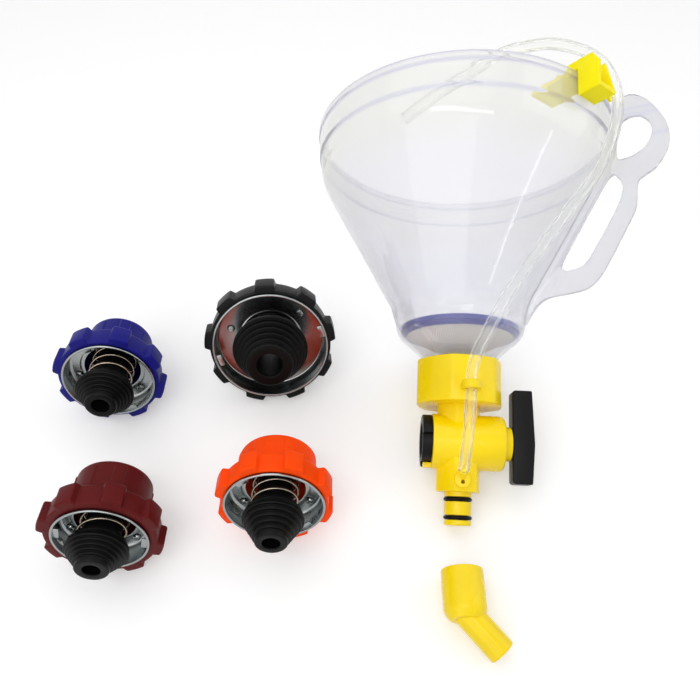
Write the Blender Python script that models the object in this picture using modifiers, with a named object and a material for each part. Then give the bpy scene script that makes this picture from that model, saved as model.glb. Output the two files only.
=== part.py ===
"""Coolant vacuum filler kit laid out flat: funnel with shut-off valve, elbow and four radiator adapters.

The kit lies on the plane z = 0. +Y runs from the spigot towards the funnel mouth, +X to the knob.
The funnel lies on the top of its cone and its spigot, each adapter on two grip lugs and its closed end.
"""
import math

import bmesh
import bpy
from mathutils import Matrix, Vector

MM = 0.001

# Clearances and fineness
FIT_GAP = 0.3 * MM
MERGE = 0.001 * MM
SAME_PLACE = 0.01 * MM
OVERRUN = 2.0 * MM
RING_SMOOTH_DEGREES = 80.0
FUNNEL_SEGMENTS = 40
ROUND_SEGMENTS = 24
CUP_SEGMENTS = 20
SMALL_SEGMENTS = 16
FINE_SEGMENTS = 8

# Yellow valve body: heights are measured along the funnel's axis from the spigot end
SPIGOT_RADIUS = 8.25 * MM
SPIGOT_CHAMFER = 1.0 * MM
SPIGOT_WALL = 3.85 * MM
SPIGOT_BORE_RADIUS = SPIGOT_RADIUS - SPIGOT_WALL
STEM_FOOT = 20.0 * MM
SPIGOT_ORING_DROP = 4.3 * MM
SPIGOT_ORING_UPPER = STEM_FOOT - SPIGOT_ORING_DROP
SPIGOT_ORING_LOWER = 4.7 * MM
SPIGOT_ORING_WIRE = 1.25 * MM
SPIGOT_ORING_PROUD = 0.5 * MM
FLOW_BORE_RADIUS = 6.0 * MM
STEM_WALL_LEAST = 7.0 * MM
STEM_FACE_RADIUS = FLOW_BORE_RADIUS + STEM_WALL_LEAST
STEM_CORNER_RISE = 0.8 * MM
STEM_CORNER_RADIUS = STEM_FACE_RADIUS + STEM_CORNER_RISE
HEX_TURN = math.radians(96.0)
HEX_SIDES = 6
HEX_POINTS_PER_SIDE = 4
ROTOR_BORE_RADIUS = 12.0 * MM
BARREL_WALL = 5.2 * MM
BARREL_RADIUS = ROTOR_BORE_RADIUS + BARREL_WALL
BARREL_LIFT = 30.8 * MM
BARREL_HEIGHT = STEM_FOOT + BARREL_LIFT
BARREL_LEFT = -17.0 * MM
BARREL_RIGHT = 28.6 * MM
BARREL_END_WALL = 2.6 * MM
ROTOR_BORE_END = BARREL_RIGHT - BARREL_END_WALL
BARREL_ROUNDING = 2.2 * MM
SPINDLE_RADIUS = 5.6 * MM
ROTOR_RUN = 0.3 * MM
HUB_WALL = 4.8 * MM
HUB_RADIUS = SPINDLE_RADIUS + ROTOR_RUN + HUB_WALL
HUB_LENGTH = 4.6 * MM
NIPPLE_LIFT = 7.0 * MM
NIPPLE_HEIGHT = STEM_FOOT + NIPPLE_LIFT
NIPPLE_SIDE = 1.1 * MM
NIPPLE_TILT = math.radians(45.0)
NIPPLE_WALL = 1.0 * MM
NIPPLE_BORE_RADIUS = 1.1 * MM
NIPPLE_RADIUS = NIPPLE_BORE_RADIUS + NIPPLE_WALL
NIPPLE_BOSS_RADIUS = 5.6 * MM
NIPPLE_BOSS_RISE = 2.0 * MM
NIPPLE_BOSS_REACH = STEM_FACE_RADIUS + NIPPLE_BOSS_RISE
NIPPLE_LENGTH = 4.2 * MM
NIPPLE_REACH = NIPPLE_BOSS_REACH + NIPPLE_LENGTH
STOP_TAB_LENGTH = 5.2 * MM
STOP_TAB_WIDTH = 4.6 * MM
STOP_TAB_DEPTH = 3.2 * MM
STOP_TAB_INSET = 0.6 * MM
STOP_TAB_FOOT_RADIUS = BARREL_RADIUS - STOP_TAB_INSET - STOP_TAB_DEPTH

# Its collar, with the gasket and the neck's seat inside
STEM_NECK_LENGTH = 4.4 * MM
COLLAR_FOOT = BARREL_HEIGHT + BARREL_RADIUS + STEM_NECK_LENGTH
COLLAR_DEPTH = 28.1 * MM
COLLAR_TOP = COLLAR_FOOT + COLLAR_DEPTH
COLLAR_FLOOR = 2.0 * MM
NECK_RADIUS = 24.2 * MM
COLLAR_WALL = 2.1 * MM
COLLAR_FACE_RADIUS = NECK_RADIUS + FIT_GAP + COLLAR_WALL
COLLAR_CORNER_RISE = 1.2 * MM
COLLAR_CORNER_RADIUS = COLLAR_FACE_RADIUS + COLLAR_CORNER_RISE
GASKET_THICKNESS = 1.4 * MM
GASKET_WIDTH = 4.0 * MM
HOSE_RADIUS = 3.6 * MM
HOSE_PLAY = 0.6 * MM
EYELET_SIDE = 3.2 * MM
EYELET_WALL = 2.2 * MM
EYELET_RADIUS = HOSE_RADIUS + HOSE_PLAY + EYELET_WALL
EYELET_SINK = 1.2 * MM
EYELET_REACH = COLLAR_FACE_RADIUS + EYELET_RADIUS - EYELET_SINK
EYELET_LIFT = 6.0 * MM
EYELET_FOOT = COLLAR_FOOT + EYELET_LIFT
EYELET_DEPTH = 6.6 * MM
EYELET_WEB_SHARE = 0.67

# Funnel bowl, from the neck's foot in the collar up to the mouth
NECK_FOOT = COLLAR_FOOT + COLLAR_FLOOR + GASKET_THICKNESS + 2 * FIT_GAP
NECK_THREAD_DEPTH = 1.4 * MM
NECK_THREAD_RISE = 1.2 * MM
NECK_THREAD_RADIUS = NECK_RADIUS + NECK_THREAD_RISE
NECK_THREAD_HEIGHT = COLLAR_TOP + NECK_THREAD_DEPTH + NECK_THREAD_DEPTH / 2
NECK_TOP = NECK_THREAD_HEIGHT + NECK_THREAD_DEPTH
FLARE_WIDTH = 4.8 * MM
FLARE_RADIUS = NECK_RADIUS + FLARE_WIDTH
FLARE_RISE = 5.0 * MM
FLARE_FOOT = NECK_TOP + FLARE_RISE
SUMP_FLOOR_WIDTH = 11.4 * MM
SUMP_FOOT_RADIUS = FLARE_RADIUS + SUMP_FLOOR_WIDTH
SUMP_FLOOR_RISE = 10.0 * MM
SUMP_FOOT = FLARE_FOOT + SUMP_FLOOR_RISE
SUMP_DRAFT = 1.8 * MM
SUMP_RADIUS = SUMP_FOOT_RADIUS + SUMP_DRAFT
SUMP_DEPTH = 9.0 * MM
SUMP_TOP = SUMP_FOOT + SUMP_DEPTH
SHOULDER_WIDTH = 3.4 * MM
CONE_FOOT_RADIUS = SUMP_RADIUS + SHOULDER_WIDTH
SHOULDER_RISE = 11.0 * MM
CONE_FOOT = SUMP_TOP + SHOULDER_RISE
CONE_FLARE = 48.0 * MM
CONE_TOP_RADIUS = CONE_FOOT_RADIUS + CONE_FLARE
CONE_RISE = 84.0 * MM
CONE_TOP = CONE_FOOT + CONE_RISE
SKIRT_EDGE = 2.2 * MM
SKIRT_RADIUS = CONE_TOP_RADIUS + SKIRT_EDGE
SKIRT_EDGE_RISE = 6.0 * MM
SKIRT_BOTTOM = CONE_TOP + SKIRT_EDGE_RISE
SKIRT_RISE = 11.0 * MM
BAND_FOOT = SKIRT_BOTTOM + SKIRT_RISE
BAND_STEP = 1.2 * MM
RIM_FLARE = 1.4 * MM
RIM_RADIUS = SKIRT_RADIUS + 2 * BAND_STEP + RIM_FLARE
RIM_BAND_DEPTH = 20.0 * MM
RIM_HEIGHT = BAND_FOOT + RIM_BAND_DEPTH
RIM_ROUNDING = 1.0 * MM
FUNNEL_WALL = 2.0 * MM

# Funnel handle: a flat plate on a plane through the axis, beside the wall
HANDLE_LEAN = math.radians(25.0)
HANDLE_THICKNESS = 3.4 * MM
HANDLE_WIDTH = 37.5 * MM
HANDLE_DROP = 2.0 * MM
HANDLE_FOOT = CONE_FOOT - HANDLE_DROP
HANDLE_RISE = 10.0 * MM
HANDLE_TOP = RIM_HEIGHT + HANDLE_RISE

# Strainer in the sump
STRAINER_PLAY = 0.5 * MM
STRAINER_RING_RADIUS = SUMP_FOOT_RADIUS - FUNNEL_WALL - STRAINER_PLAY
STRAINER_SEAT_GAP = 0.2 * MM
STRAINER_RING_FOOT = SUMP_FOOT + FUNNEL_WALL / 2 + STRAINER_SEAT_GAP
STRAINER_RING_DEPTH = 4.0 * MM
STRAINER_RING_TOP = STRAINER_RING_FOOT + STRAINER_RING_DEPTH
STRAINER_RING_WALL = 2.6 * MM
STRAINER_SKIRT_DEPTH = 2.0 * MM
STRAINER_SKIRT_WALL = 1.2 * MM
STRAINER_SKIRT_STEP = 1.2 * MM
STRAINER_MESH_DROP = 9.0 * MM
STRAINER_MESH_SLOPE_WIDTH = 18.8 * MM
STRAINER_MESH_THICKNESS = 0.6 * MM

# Black rotor, its knob and its rings: places are measured along the rotor's axis from the stem's middle
ROTOR_HEAD_INSET = 0.8 * MM
ROTOR_HEAD_RADIUS = BARREL_RADIUS - ROTOR_HEAD_INSET
ROTOR_HEAD_LENGTH = 6.8 * MM
ROTOR_HEAD_RIM = 6.0 * MM
ROTOR_POCKET_RADIUS = ROTOR_HEAD_RADIUS - ROTOR_HEAD_RIM
ROTOR_HEAD_FLOOR = 2.6 * MM
ROTOR_RING_WIRE = 1.0 * MM
ROTOR_RING_INSET_LEFT = 4.8 * MM
ROTOR_RING_INSET_RIGHT = 8.8 * MM
ROTOR_RING_LEFT = BARREL_LEFT + ROTOR_RING_INSET_LEFT
ROTOR_RING_RIGHT = ROTOR_BORE_END - ROTOR_RING_INSET_RIGHT
VALVE_TURN = math.radians(90.0)
STOP_PLAY = math.radians(3.0)
KNOB_GAP = 0.4 * MM
KNOB_INNER = BARREL_RIGHT + HUB_LENGTH + KNOB_GAP
KNOB_SOCKET_DEPTH = 7.9 * MM
SPINDLE_END = KNOB_INNER + KNOB_SOCKET_DEPTH
KNOB_WEB = 2.7 * MM
KNOB_SCREW_HEAD_RADIUS = 3.4 * MM
KNOB_SCREW_HEAD_DEPTH = 2.0 * MM
KNOB_OUTER = SPINDLE_END + KNOB_WEB + KNOB_SCREW_HEAD_DEPTH + 2 * FIT_GAP
KNOB_LONG_END = 33.6 * MM
KNOB_SHORT_END = 24.6 * MM
KNOB_SOCKET_WALL = 0.6 * MM
KNOB_DEPTH = 2 * (SPINDLE_RADIUS + FIT_GAP + KNOB_SOCKET_WALL)
KNOB_TAPER = 1.6 * MM
KNOB_ROUNDING = 1.0 * MM
KNOB_SCREW_RADIUS = 1.5 * MM
KNOB_SCREW_LENGTH = 9.0 * MM

# Clear hose, its route in the funnel's own frame and its clip on the rim
HOSE_POINT_STEP = 13.0 * MM
HOSE_ROUTE_MM = (
    (1.1, -19.5, 34.3), (1.15, -21.6, 36.5), (1.3, -26.6, 42.6), (1.8, -30.3, 50.4), (2.4, -31.8, 60.0),
    (3.1, -31.8, 74.0), (3.2, -31.8, 81.7), (3.9, -31.9, 91.0), (6.6, -33.5, 101.8),
    (10.6, -38.9, 111.2), (16.2, -44.7, 122.8), (22.6, -46.6, 135.0), (32.5, -48.8, 150.0),
    (43.6, -51.6, 166.5), (59.0, -55.2, 188.5), (71.6, -58.2, 206.0), (80.0, -62.2, 225.5),
    (83.6, -64.2, 240.0), (84.9, -64.6, 251.5), (84.3, -64.6, 261.0), (81.5, -66.4, 267.5),
    (75.8, -70.6, 272.9), (67.3, -73.9, 277.5), (57.6, -76.2, 279.9), (42.4, -78.4, 280.7),
    (27.4, -79.4, 277.6), (12.2, -81.0, 271.0), (-6.6, -82.2, 255.4), (-23.9, -83.4, 242.0),
    (-43.4, -77.6, 228.0),
)
CLIP_ANGLE = math.radians(52.3)
CLIP_WIDTH = 17.0 * MM
CLIP_SLOT_GAP = 1.0 * MM
CLIP_OUTER_DEPTH = 14.3 * MM
CLIP_DROP = 17.0 * MM
CLIP_HEAD_THICKNESS = 6.0 * MM
CLIP_HEAD_TAPER = 4.6 * MM
CLIP_SHOULDER_DROP = 0.7 * MM
CLIP_POCKET_WEB = 2.4 * MM
CLIP_POCKET_WALL = 1.8 * MM
CLIP_POCKET_SHELF = 3.0 * MM
CLIP_INNER_THICKNESS = 3.0 * MM
CLIP_TONGUE_REACH = 23.0 * MM
CLIP_TONGUE_THICKNESS = 2.6 * MM
CLIP_TONGUE_DROP = 2.8 * MM
CLIP_HOLDER_OUT = 3.16 * MM
CLIP_HOLDER_SIDE = 27.32 * MM
CLIP_HOLDER_DROP = 2.2 * MM
CLIP_HOLDER_DEPTH = 5.0 * MM
CLIP_HOLDER_WALL = 1.6 * MM
CLIP_HOLDER_SPARE = 1.2 * MM
CLIP_ARM_THICKNESS = 1.6 * MM
CLIP_ARM_DEPTH = 6.0 * MM

# Socket that fits over the spigot's rings, in the elbow and in each adapter
SOCKET_PLAY = 0.15 * MM
SOCKET_RADIUS = SPIGOT_RADIUS + SPIGOT_ORING_PROUD + SOCKET_PLAY
SOCKET_DEPTH = STEM_FOOT

# Yellow elbow that fits over the spigot
ELBOW_SOCKET_WALL = 3.4 * MM
ELBOW_SOCKET_RADIUS = SOCKET_RADIUS + ELBOW_SOCKET_WALL
ELBOW_SOCKET_SPARE = 2.0 * MM
ELBOW_SOCKET_FLOOR = 6.0 * MM
ELBOW_SOCKET_LENGTH = SOCKET_DEPTH + ELBOW_SOCKET_SPARE + ELBOW_SOCKET_FLOOR
ELBOW_SOCKET_TAPER = 3.0 * MM
ELBOW_SOCKET_TAPER_DEPTH = 4.6 * MM
ELBOW_SPOUT_BORE_RADIUS = 5.2 * MM
ELBOW_SPOUT_WALL = 2.8 * MM
ELBOW_SPOUT_RADIUS = ELBOW_SPOUT_BORE_RADIUS + ELBOW_SPOUT_WALL
ELBOW_SPOUT_LENGTH = 29.0 * MM
ELBOW_SPOUT_ROUNDING = 1.2 * MM
ELBOW_KNUCKLE = 5.0 * MM
ELBOW_BEND = math.radians(43.0)
ELBOW_PLACE = (-0.6 * MM, -56.8 * MM)

# How the funnel lies, turned a little to the right
FUNNEL_YAW = math.radians(3.0)

# Adapters: the axis runs from the closed end of the grip cap to the tip of the rubber plug,
# and heights along it are measured from the lip of the metal cup
GRIP_LUG_HEIGHT = 3.4 * MM
GRIP_RING_DEPTH = 14.0 * MM
GRIP_RIB_HEIGHT = 0.7 * MM
GRIP_EDGE = 1.6 * MM
GRIP_FRONT = 1.2 * MM
GRIP_WALL = 2.6 * MM
GRIP_FLOOR = 3.0 * MM
GRIP_POINTS_PER_LUG = 4
GRIP_LUG_DRAFT = 0.6
CUP_SHEET = 0.9 * MM
CUP_DEPTH = 13.6 * MM
CUP_LIP = 0.8 * MM
CUP_TAB_WIDTH = 8.0 * MM
CUP_TAB_REACH = 3.4 * MM
RIVET_COUNT = 3
RIVET_RADIUS = 2.6 * MM
RIVET_HEIGHT = 1.1 * MM
RIVET_CROWN = 0.7
STEM_WALL = 1.9 * MM
STEM_FLANGE = 1.6 * MM
PLUG_WALL_AT_TIP = 2.2 * MM
PLUG_STEPS = 4
PLUG_BACK_STEP = 1.4 * MM
SPRING_WIRE_RADIUS = 0.8 * MM
SPRING_TURNS = 5
SPRING_POINTS_PER_TURN = 9

ADAPTERS = {
    "black": {
        "beside": None, "step": (-117.7 * MM, 108.1 * MM), "yaw": math.radians(5.0), "lugs": 9,
        "ring_wall": 2.1 * MM, "cup_floor": 18.4 * MM, "chamber_play": 5.4 * MM, "spring_play": 2.0 * MM,
        "cap_height": 34.4 * MM, "plug_radius": 24.6 * MM, "plug_widest": 4.6 * MM,
        "plug_depth": 5.0 * MM, "tip_wall": 6.6 * MM, "tip_length": 4.2 * MM,
        "plug_tip": 24.5 * MM, "bore_radius": 8.2 * MM,
        "tab_turn": math.radians(13.5), "rivet_turn": math.radians(40.0),
        "colour": (0.018, 0.018, 0.019),
    },
    "blue": {
        "beside": "black", "step": (-104.0 * MM, -22.0 * MM), "yaw": math.radians(2.7), "lugs": 8,
        "ring_wall": 2.8 * MM, "cup_floor": 10.0 * MM, "chamber_play": 2.6 * MM, "spring_play": 2.0 * MM,
        "cap_height": 40.9 * MM, "plug_radius": 18.4 * MM, "plug_widest": 12.0 * MM,
        "plug_depth": 5.0 * MM, "tip_wall": 4.2 * MM, "tip_length": 3.4 * MM,
        "plug_tip": 23.4 * MM, "bore_radius": 5.6 * MM,
        "tab_turn": math.radians(-70.0), "rivet_turn": math.radians(-50.0),
        "colour": (0.014, 0.011, 0.22),
    },
    "maroon": {
        "beside": "blue", "step": (15.8 * MM, -105.3 * MM), "yaw": math.radians(1.5), "lugs": 8,
        "ring_wall": 4.7 * MM, "cup_floor": 8.4 * MM, "chamber_play": 4.2 * MM, "spring_play": 1.6 * MM,
        "cap_height": 39.4 * MM, "plug_radius": 18.1 * MM, "plug_widest": 8.4 * MM,
        "plug_depth": 5.0 * MM, "tip_wall": 4.6 * MM, "tip_length": 3.4 * MM,
        "plug_tip": 19.4 * MM, "bore_radius": 5.0 * MM,
        "tab_turn": math.radians(-14.0), "rivet_turn": math.radians(-47.0),
        "colour": (0.115, 0.010, 0.011),
    },
    "orange": {
        "beside": "maroon", "step": (96.6 * MM, 20.0 * MM), "yaw": math.radians(0.6), "lugs": 8,
        "ring_wall": 2.0 * MM, "cup_floor": 10.5 * MM, "chamber_play": 5.0 * MM, "spring_play": 1.8 * MM,
        "cap_height": 35.4 * MM, "plug_radius": 18.2 * MM, "plug_widest": 10.4 * MM,
        "plug_depth": 5.0 * MM, "tip_wall": 4.2 * MM, "tip_length": 3.4 * MM,
        "plug_tip": 25.0 * MM, "bore_radius": 5.2 * MM,
        "tab_turn": math.radians(-50.0), "rivet_turn": math.radians(90.0),
        "colour": (1.0, 0.085, 0.004),
    },
}

# What each adapter takes from those sizes, from the stem outward
for size in ADAPTERS.values():
    beside = ADAPTERS[size["beside"]]["place"] if size["beside"] else (0, 0)
    size["place"] = (beside[0] + size["step"][0], beside[1] + size["step"][1])
    size["tip_radius"] = size["bore_radius"] + size["tip_wall"]
    size["spring_radius"] = SOCKET_RADIUS + STEM_WALL + size["spring_play"] + 2 * SPRING_WIRE_RADIUS
    size["cap_radius"] = size["spring_radius"] + STEM_FLANGE + size["chamber_play"] + GRIP_WALL
    size["cup_opening"] = size["spring_radius"] + 2 * STEM_FLANGE + FIT_GAP
    size["cup_radius"] = size["cup_opening"] + size["cup_floor"] + CUP_SHEET
    size["lug_radius"] = size["cup_radius"] + FIT_GAP + size["ring_wall"] + GRIP_LUG_HEIGHT

# Outline of the handle and its two holes: shares of the width, outward from the middle of the funnel's
# wall, and of the height from foot to top
HANDLE_OUTER_SHARES = (
    (0.1396, 0.940), (0.1922, 0.985), (0.3246, 0.999), (0.4542, 0.985), (0.5830, 0.955),
    (0.7326, 0.885), (0.8541, 0.820), (0.9351, 0.765), (0.9411, 0.700), (0.9148, 0.640),
    (0.8731, 0.592), (0.7453, 0.560), (0.7471, 0.530), (0.8713, 0.460), (0.9475, 0.405),
    (0.9783, 0.290), (1.0001, 0.150), (0.9747, 0.085), (0.8749, 0.048), (0.6546, 0.036),
    (0.3173, 0.030), (0.2394, 0.012), (0.1940, -0.020),
)
LOOP_HOLE_SHARES = (
    (0.1650, 0.850), (0.2294, 0.873), (0.3491, 0.882), (0.4742, 0.872), (0.5875, 0.840),
    (0.6365, 0.800), (0.6528, 0.755), (0.5730, 0.712), (0.4216, 0.680), (0.2276, 0.668),
    (0.1569, 0.690), (0.1405, 0.760),
)
SLOT_SHARES = (
    (0.2566, 0.598), (0.3826, 0.572), (0.4923, 0.540), (0.5630, 0.500), (0.6020, 0.455),
    (0.6310, 0.375), (0.6356, 0.235), (0.6247, 0.180), (0.5531, 0.155), (0.3636, 0.145),
    (0.2738, 0.160), (0.2276, 0.188), (0.2094, 0.290), (0.1958, 0.538), (0.2230, 0.590),
)

PARTS = {}


def clear_scene():
    for obj in list(bpy.data.objects):
        bpy.data.objects.remove(obj, do_unlink=True)


def make_collection(name):
    group = bpy.data.collections.new(name)
    bpy.context.scene.collection.children.link(group)
    return group


def make_material(name, colour, roughness, metallic=0.0, transmission=0.0):
    mat = bpy.data.materials.new(name)
    mat.use_nodes = True
    shader = mat.node_tree.nodes["Principled BSDF"]
    shader.inputs["Base Color"].default_value = (*colour, 1.0)
    shader.inputs["Roughness"].default_value = roughness
    shader.inputs["Metallic"].default_value = metallic
    shader.inputs["Transmission Weight"].default_value = transmission
    return mat


def make_empty(name, parent=None, place=(0, 0, 0), turn=None):
    empty = bpy.data.objects.new(name, None)
    bpy.context.scene.collection.objects.link(empty)
    empty.parent = parent
    empty.location = place
    if turn is not None:
        empty.rotation_euler = turn.to_euler()
    return empty


def place_object(obj, parent, place=(0, 0, 0), turn=None):
    obj.parent = parent
    obj.location = place
    if turn is not None:
        obj.rotation_euler = turn.to_euler()
    return obj


def as_part(obj, mat):
    """Put a finished object among the kit's parts."""
    PART_GROUP.objects.link(obj)
    obj.data.materials.clear()
    obj.data.materials.append(mat)
    PARTS[obj.name] = obj
    return obj


def as_tool(obj):
    """Put a cutter or a joined shape in the hidden collection."""
    TOOL_GROUP.objects.link(obj)
    obj.hide_render = True
    obj.display_type = "WIRE"
    return obj


def smooth(obj, limit=35.0):
    obj.data.shade_smooth()
    obj.data.set_sharp_from_angle(angle=math.radians(limit))


def turned(name, profile, segments, closed=False):
    """Turn a profile about local Z. It runs down its outer side, top to bottom."""
    mesh = bpy.data.meshes.new(name)
    shape = bmesh.new()
    points = [shape.verts.new((radius, 0, height)) for radius, height in profile]
    for start, end in zip(points, points[1:]):
        shape.edges.new((start, end))
    if closed:
        shape.edges.new((points[-1], points[0]))
    shape.to_mesh(mesh)
    shape.free()
    obj = bpy.data.objects.new(name, mesh)
    screw = obj.modifiers.new("turn", "SCREW")
    screw.steps = segments
    screw.render_steps = segments
    screw.use_merge_vertices = True
    screw.merge_threshold = MERGE
    return obj


def rod(name, radius, start, end, segments=ROUND_SEGMENTS):
    """A plain round rod along local Z."""
    profile = [(0, end), (radius, end), (radius, start), (0, start)]
    return turned(name, profile, segments)


def half_step(segments):
    """Half a segment's turn, so that the edges of two crossing shapes never meet exactly."""
    return Matrix.Rotation(math.pi / segments, 4, "Z")


def block(name, low, high, bevel=0.0):
    """A box between two corners, with rounded edges if a width is given."""
    mesh = bpy.data.meshes.new(name)
    shape = bmesh.new()
    bmesh.ops.create_cube(shape, size=1.0)
    size = Vector(high) - Vector(low)
    bmesh.ops.scale(shape, vec=size, verts=shape.verts)
    bmesh.ops.translate(shape, vec=(Vector(high) + Vector(low)) / 2, verts=shape.verts)
    shape.to_mesh(mesh)
    shape.free()
    obj = bpy.data.objects.new(name, mesh)
    if bevel:
        add_bevel(obj, bevel)
    return obj


def add_bevel(obj, width, segments=2, limit=30.0):
    bevel = obj.modifiers.new("round_edges", "BEVEL")
    bevel.width = width
    bevel.segments = segments
    bevel.limit_method = "ANGLE"
    bevel.angle_limit = math.radians(limit)


def combine(obj, other, operation):
    boolean = obj.modifiers.new(other.name, "BOOLEAN")
    boolean.operation = operation
    boolean.object = other


def cut(obj, cutter, parent, place=(0, 0, 0), turn=None):
    combine(obj, place_object(as_tool(cutter), parent, place, turn), "DIFFERENCE")


def join(obj, shape, parent, place=(0, 0, 0), turn=None):
    combine(obj, place_object(as_tool(shape), parent, place, turn), "UNION")


def plate(name, outlines, thickness):
    """A flat plate in local XY from closed outlines, the first one outside and the rest holes."""
    curve = bpy.data.curves.new(name, "CURVE")
    curve.dimensions = "2D"
    curve.fill_mode = "BOTH"
    curve.extrude = thickness / 2
    for outline in outlines:
        spline = curve.splines.new("POLY")
        spline.points.add(len(outline) - 1)
        spline.use_cyclic_u = True
        for point, (across, along) in zip(spline.points, outline):
            point.co = (across, along, 0, 1)
    drawing = bpy.data.objects.new(name + "_outline", curve)
    bpy.context.scene.collection.objects.link(drawing)
    return mesh_from_curve(name, drawing)


def mesh_from_curve(name, drawing):
    """A curve's evaluated shape as a welded mesh object; the curve is removed."""
    graph = bpy.context.evaluated_depsgraph_get()
    mesh = bpy.data.meshes.new_from_object(drawing.evaluated_get(graph))
    shape = bmesh.new()
    shape.from_mesh(mesh)
    bmesh.ops.remove_doubles(shape, verts=shape.verts, dist=MERGE)
    bmesh.ops.recalc_face_normals(shape, faces=shape.faces)
    shape.to_mesh(mesh)
    shape.free()
    obj = bpy.data.objects.new(name, mesh)
    obj.matrix_world = drawing.matrix_world
    bpy.data.objects.remove(drawing, do_unlink=True)
    return obj


def tube(name, points, radius, fineness):
    """A solid round tube along points, as a curve with filled ends."""
    curve = bpy.data.curves.new(name, "CURVE")
    curve.dimensions = "3D"
    curve.bevel_depth = radius
    curve.bevel_resolution = fineness
    curve.use_fill_caps = True
    spline = curve.splines.new("POLY")
    spline.points.add(len(points) - 1)
    for point, place in zip(spline.points, points):
        point.co = (*place, 1)
    return bpy.data.objects.new(name, curve)


def smooth_route(route, step):
    """Points about a step apart on a smooth curve through a route's own points."""
    ends = [route[0] * 2 - route[1]] + list(route) + [route[-1] * 2 - route[-2]]
    dense = []
    for before, start, end, after in zip(ends, ends[1:], ends[2:], ends[3:]):
        count = math.ceil((end - start).length / step)
        for index in range(count):
            t = index / count
            dense.append(0.5 * (
                2 * start + (end - before) * t
                + (2 * before - 5 * start + 4 * end - after) * t ** 2
                + (3 * start - before - 3 * end + after) * t ** 3))
    return dense + [route[-1]]


def ring(name, radius, wire, segments=SMALL_SEGMENTS, sides=6):
    """A round rubber ring about local Z."""
    profile = []
    for index in range(sides):
        angle = math.pi / 2 - math.tau * (index + 0.5) / sides
        profile.append((radius + wire * math.cos(angle), wire * math.sin(angle)))
    return turned(name, profile, segments, closed=True)


def hex_prism(name, corner, face, low, high):
    """A prism of six bulged faces: full radius at its corners, less in the middle of each face."""
    mesh = bpy.data.meshes.new(name)
    shape = bmesh.new()
    bmesh.ops.create_cone(
        shape, cap_ends=True, segments=HEX_SIDES * HEX_POINTS_PER_SIDE,
        radius1=1.0, radius2=1.0, depth=high - low)
    for vert in shape.verts:
        angle = math.atan2(vert.co.y, vert.co.x)
        bulge = abs(math.sin(HEX_SIDES / 2 * angle))
        radius = corner - (corner - face) * bulge
        vert.co.x = radius * math.cos(angle)
        vert.co.y = radius * math.sin(angle)
        vert.co.z += (high + low) / 2
    shape.to_mesh(mesh)
    shape.free()
    return bpy.data.objects.new(name, mesh)


# The funnel

def outer_wall():
    """Radius and height of the funnel's outer side, from the rim down to the neck's foot."""
    thread_top = NECK_THREAD_HEIGHT + NECK_THREAD_DEPTH / 2
    thread_foot = NECK_THREAD_HEIGHT - NECK_THREAD_DEPTH / 2
    return [
        (RIM_RADIUS - RIM_ROUNDING, RIM_HEIGHT), (RIM_RADIUS, RIM_HEIGHT - RIM_ROUNDING),
        (SKIRT_RADIUS + 2 * BAND_STEP, BAND_FOOT), (SKIRT_RADIUS + BAND_STEP, BAND_FOOT - BAND_STEP / 2),
        (SKIRT_RADIUS, SKIRT_BOTTOM), (CONE_TOP_RADIUS, CONE_TOP),
        (CONE_FOOT_RADIUS, CONE_FOOT), (SUMP_RADIUS, SUMP_TOP), (SUMP_FOOT_RADIUS, SUMP_FOOT),
        (FLARE_RADIUS, FLARE_FOOT), (NECK_RADIUS, NECK_TOP),
        (NECK_THREAD_RADIUS, thread_top), (NECK_THREAD_RADIUS, thread_foot),
        (NECK_RADIUS, thread_foot - NECK_THREAD_DEPTH), (NECK_RADIUS, NECK_FOOT),
    ]


def inner_wall():
    """The funnel's inner side, from the neck's foot up to the rim, one wall inside the outer one."""
    wall = FUNNEL_WALL
    return [
        (NECK_RADIUS - wall, NECK_FOOT), (NECK_RADIUS - wall, NECK_TOP + wall / 2),
        (FLARE_RADIUS - wall / 2, FLARE_FOOT + wall), (SUMP_FOOT_RADIUS - wall, SUMP_FOOT + wall / 2),
        (SUMP_RADIUS - wall, SUMP_TOP), (CONE_FOOT_RADIUS - wall, CONE_FOOT + wall / 2),
        (CONE_TOP_RADIUS - wall, CONE_TOP + wall / 2), (SKIRT_RADIUS - wall, SKIRT_BOTTOM),
        (RIM_RADIUS - RIM_ROUNDING - wall, RIM_HEIGHT),
    ]


def wall_radius(height):
    """Radius of the middle of the funnel's wall at a height."""
    points = [(level, radius) for radius, level in outer_wall()]
    for (level, radius), (low, below) in zip(points, points[1:]):
        if low <= height <= level and level > low:
            share = (height - low) / (level - low)
            return below + (radius - below) * share - FUNNEL_WALL / 2
    return RIM_RADIUS - RIM_ROUNDING - FUNNEL_WALL / 2


def on_handle(shares):
    """Places on the handle's plane, each measured outward from the wall at its own height."""
    places = []
    for outward, up in shares:
        height = HANDLE_FOOT + up * (HANDLE_TOP - HANDLE_FOOT)
        places.append((wall_radius(height) + outward * HANDLE_WIDTH, height))
    return places


def handle_outline():
    """The handle's outer edge, closed along the middle of the funnel's wall."""
    outer = on_handle(HANDLE_OUTER_SHARES)
    lowest = outer[-1][1]
    levels = (CONE_FOOT, SKIRT_BOTTOM, RIM_HEIGHT - RIM_ROUNDING)
    inner = [(wall_radius(lowest), lowest)] + [(wall_radius(level), level) for level in levels]
    return outer + inner


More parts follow.
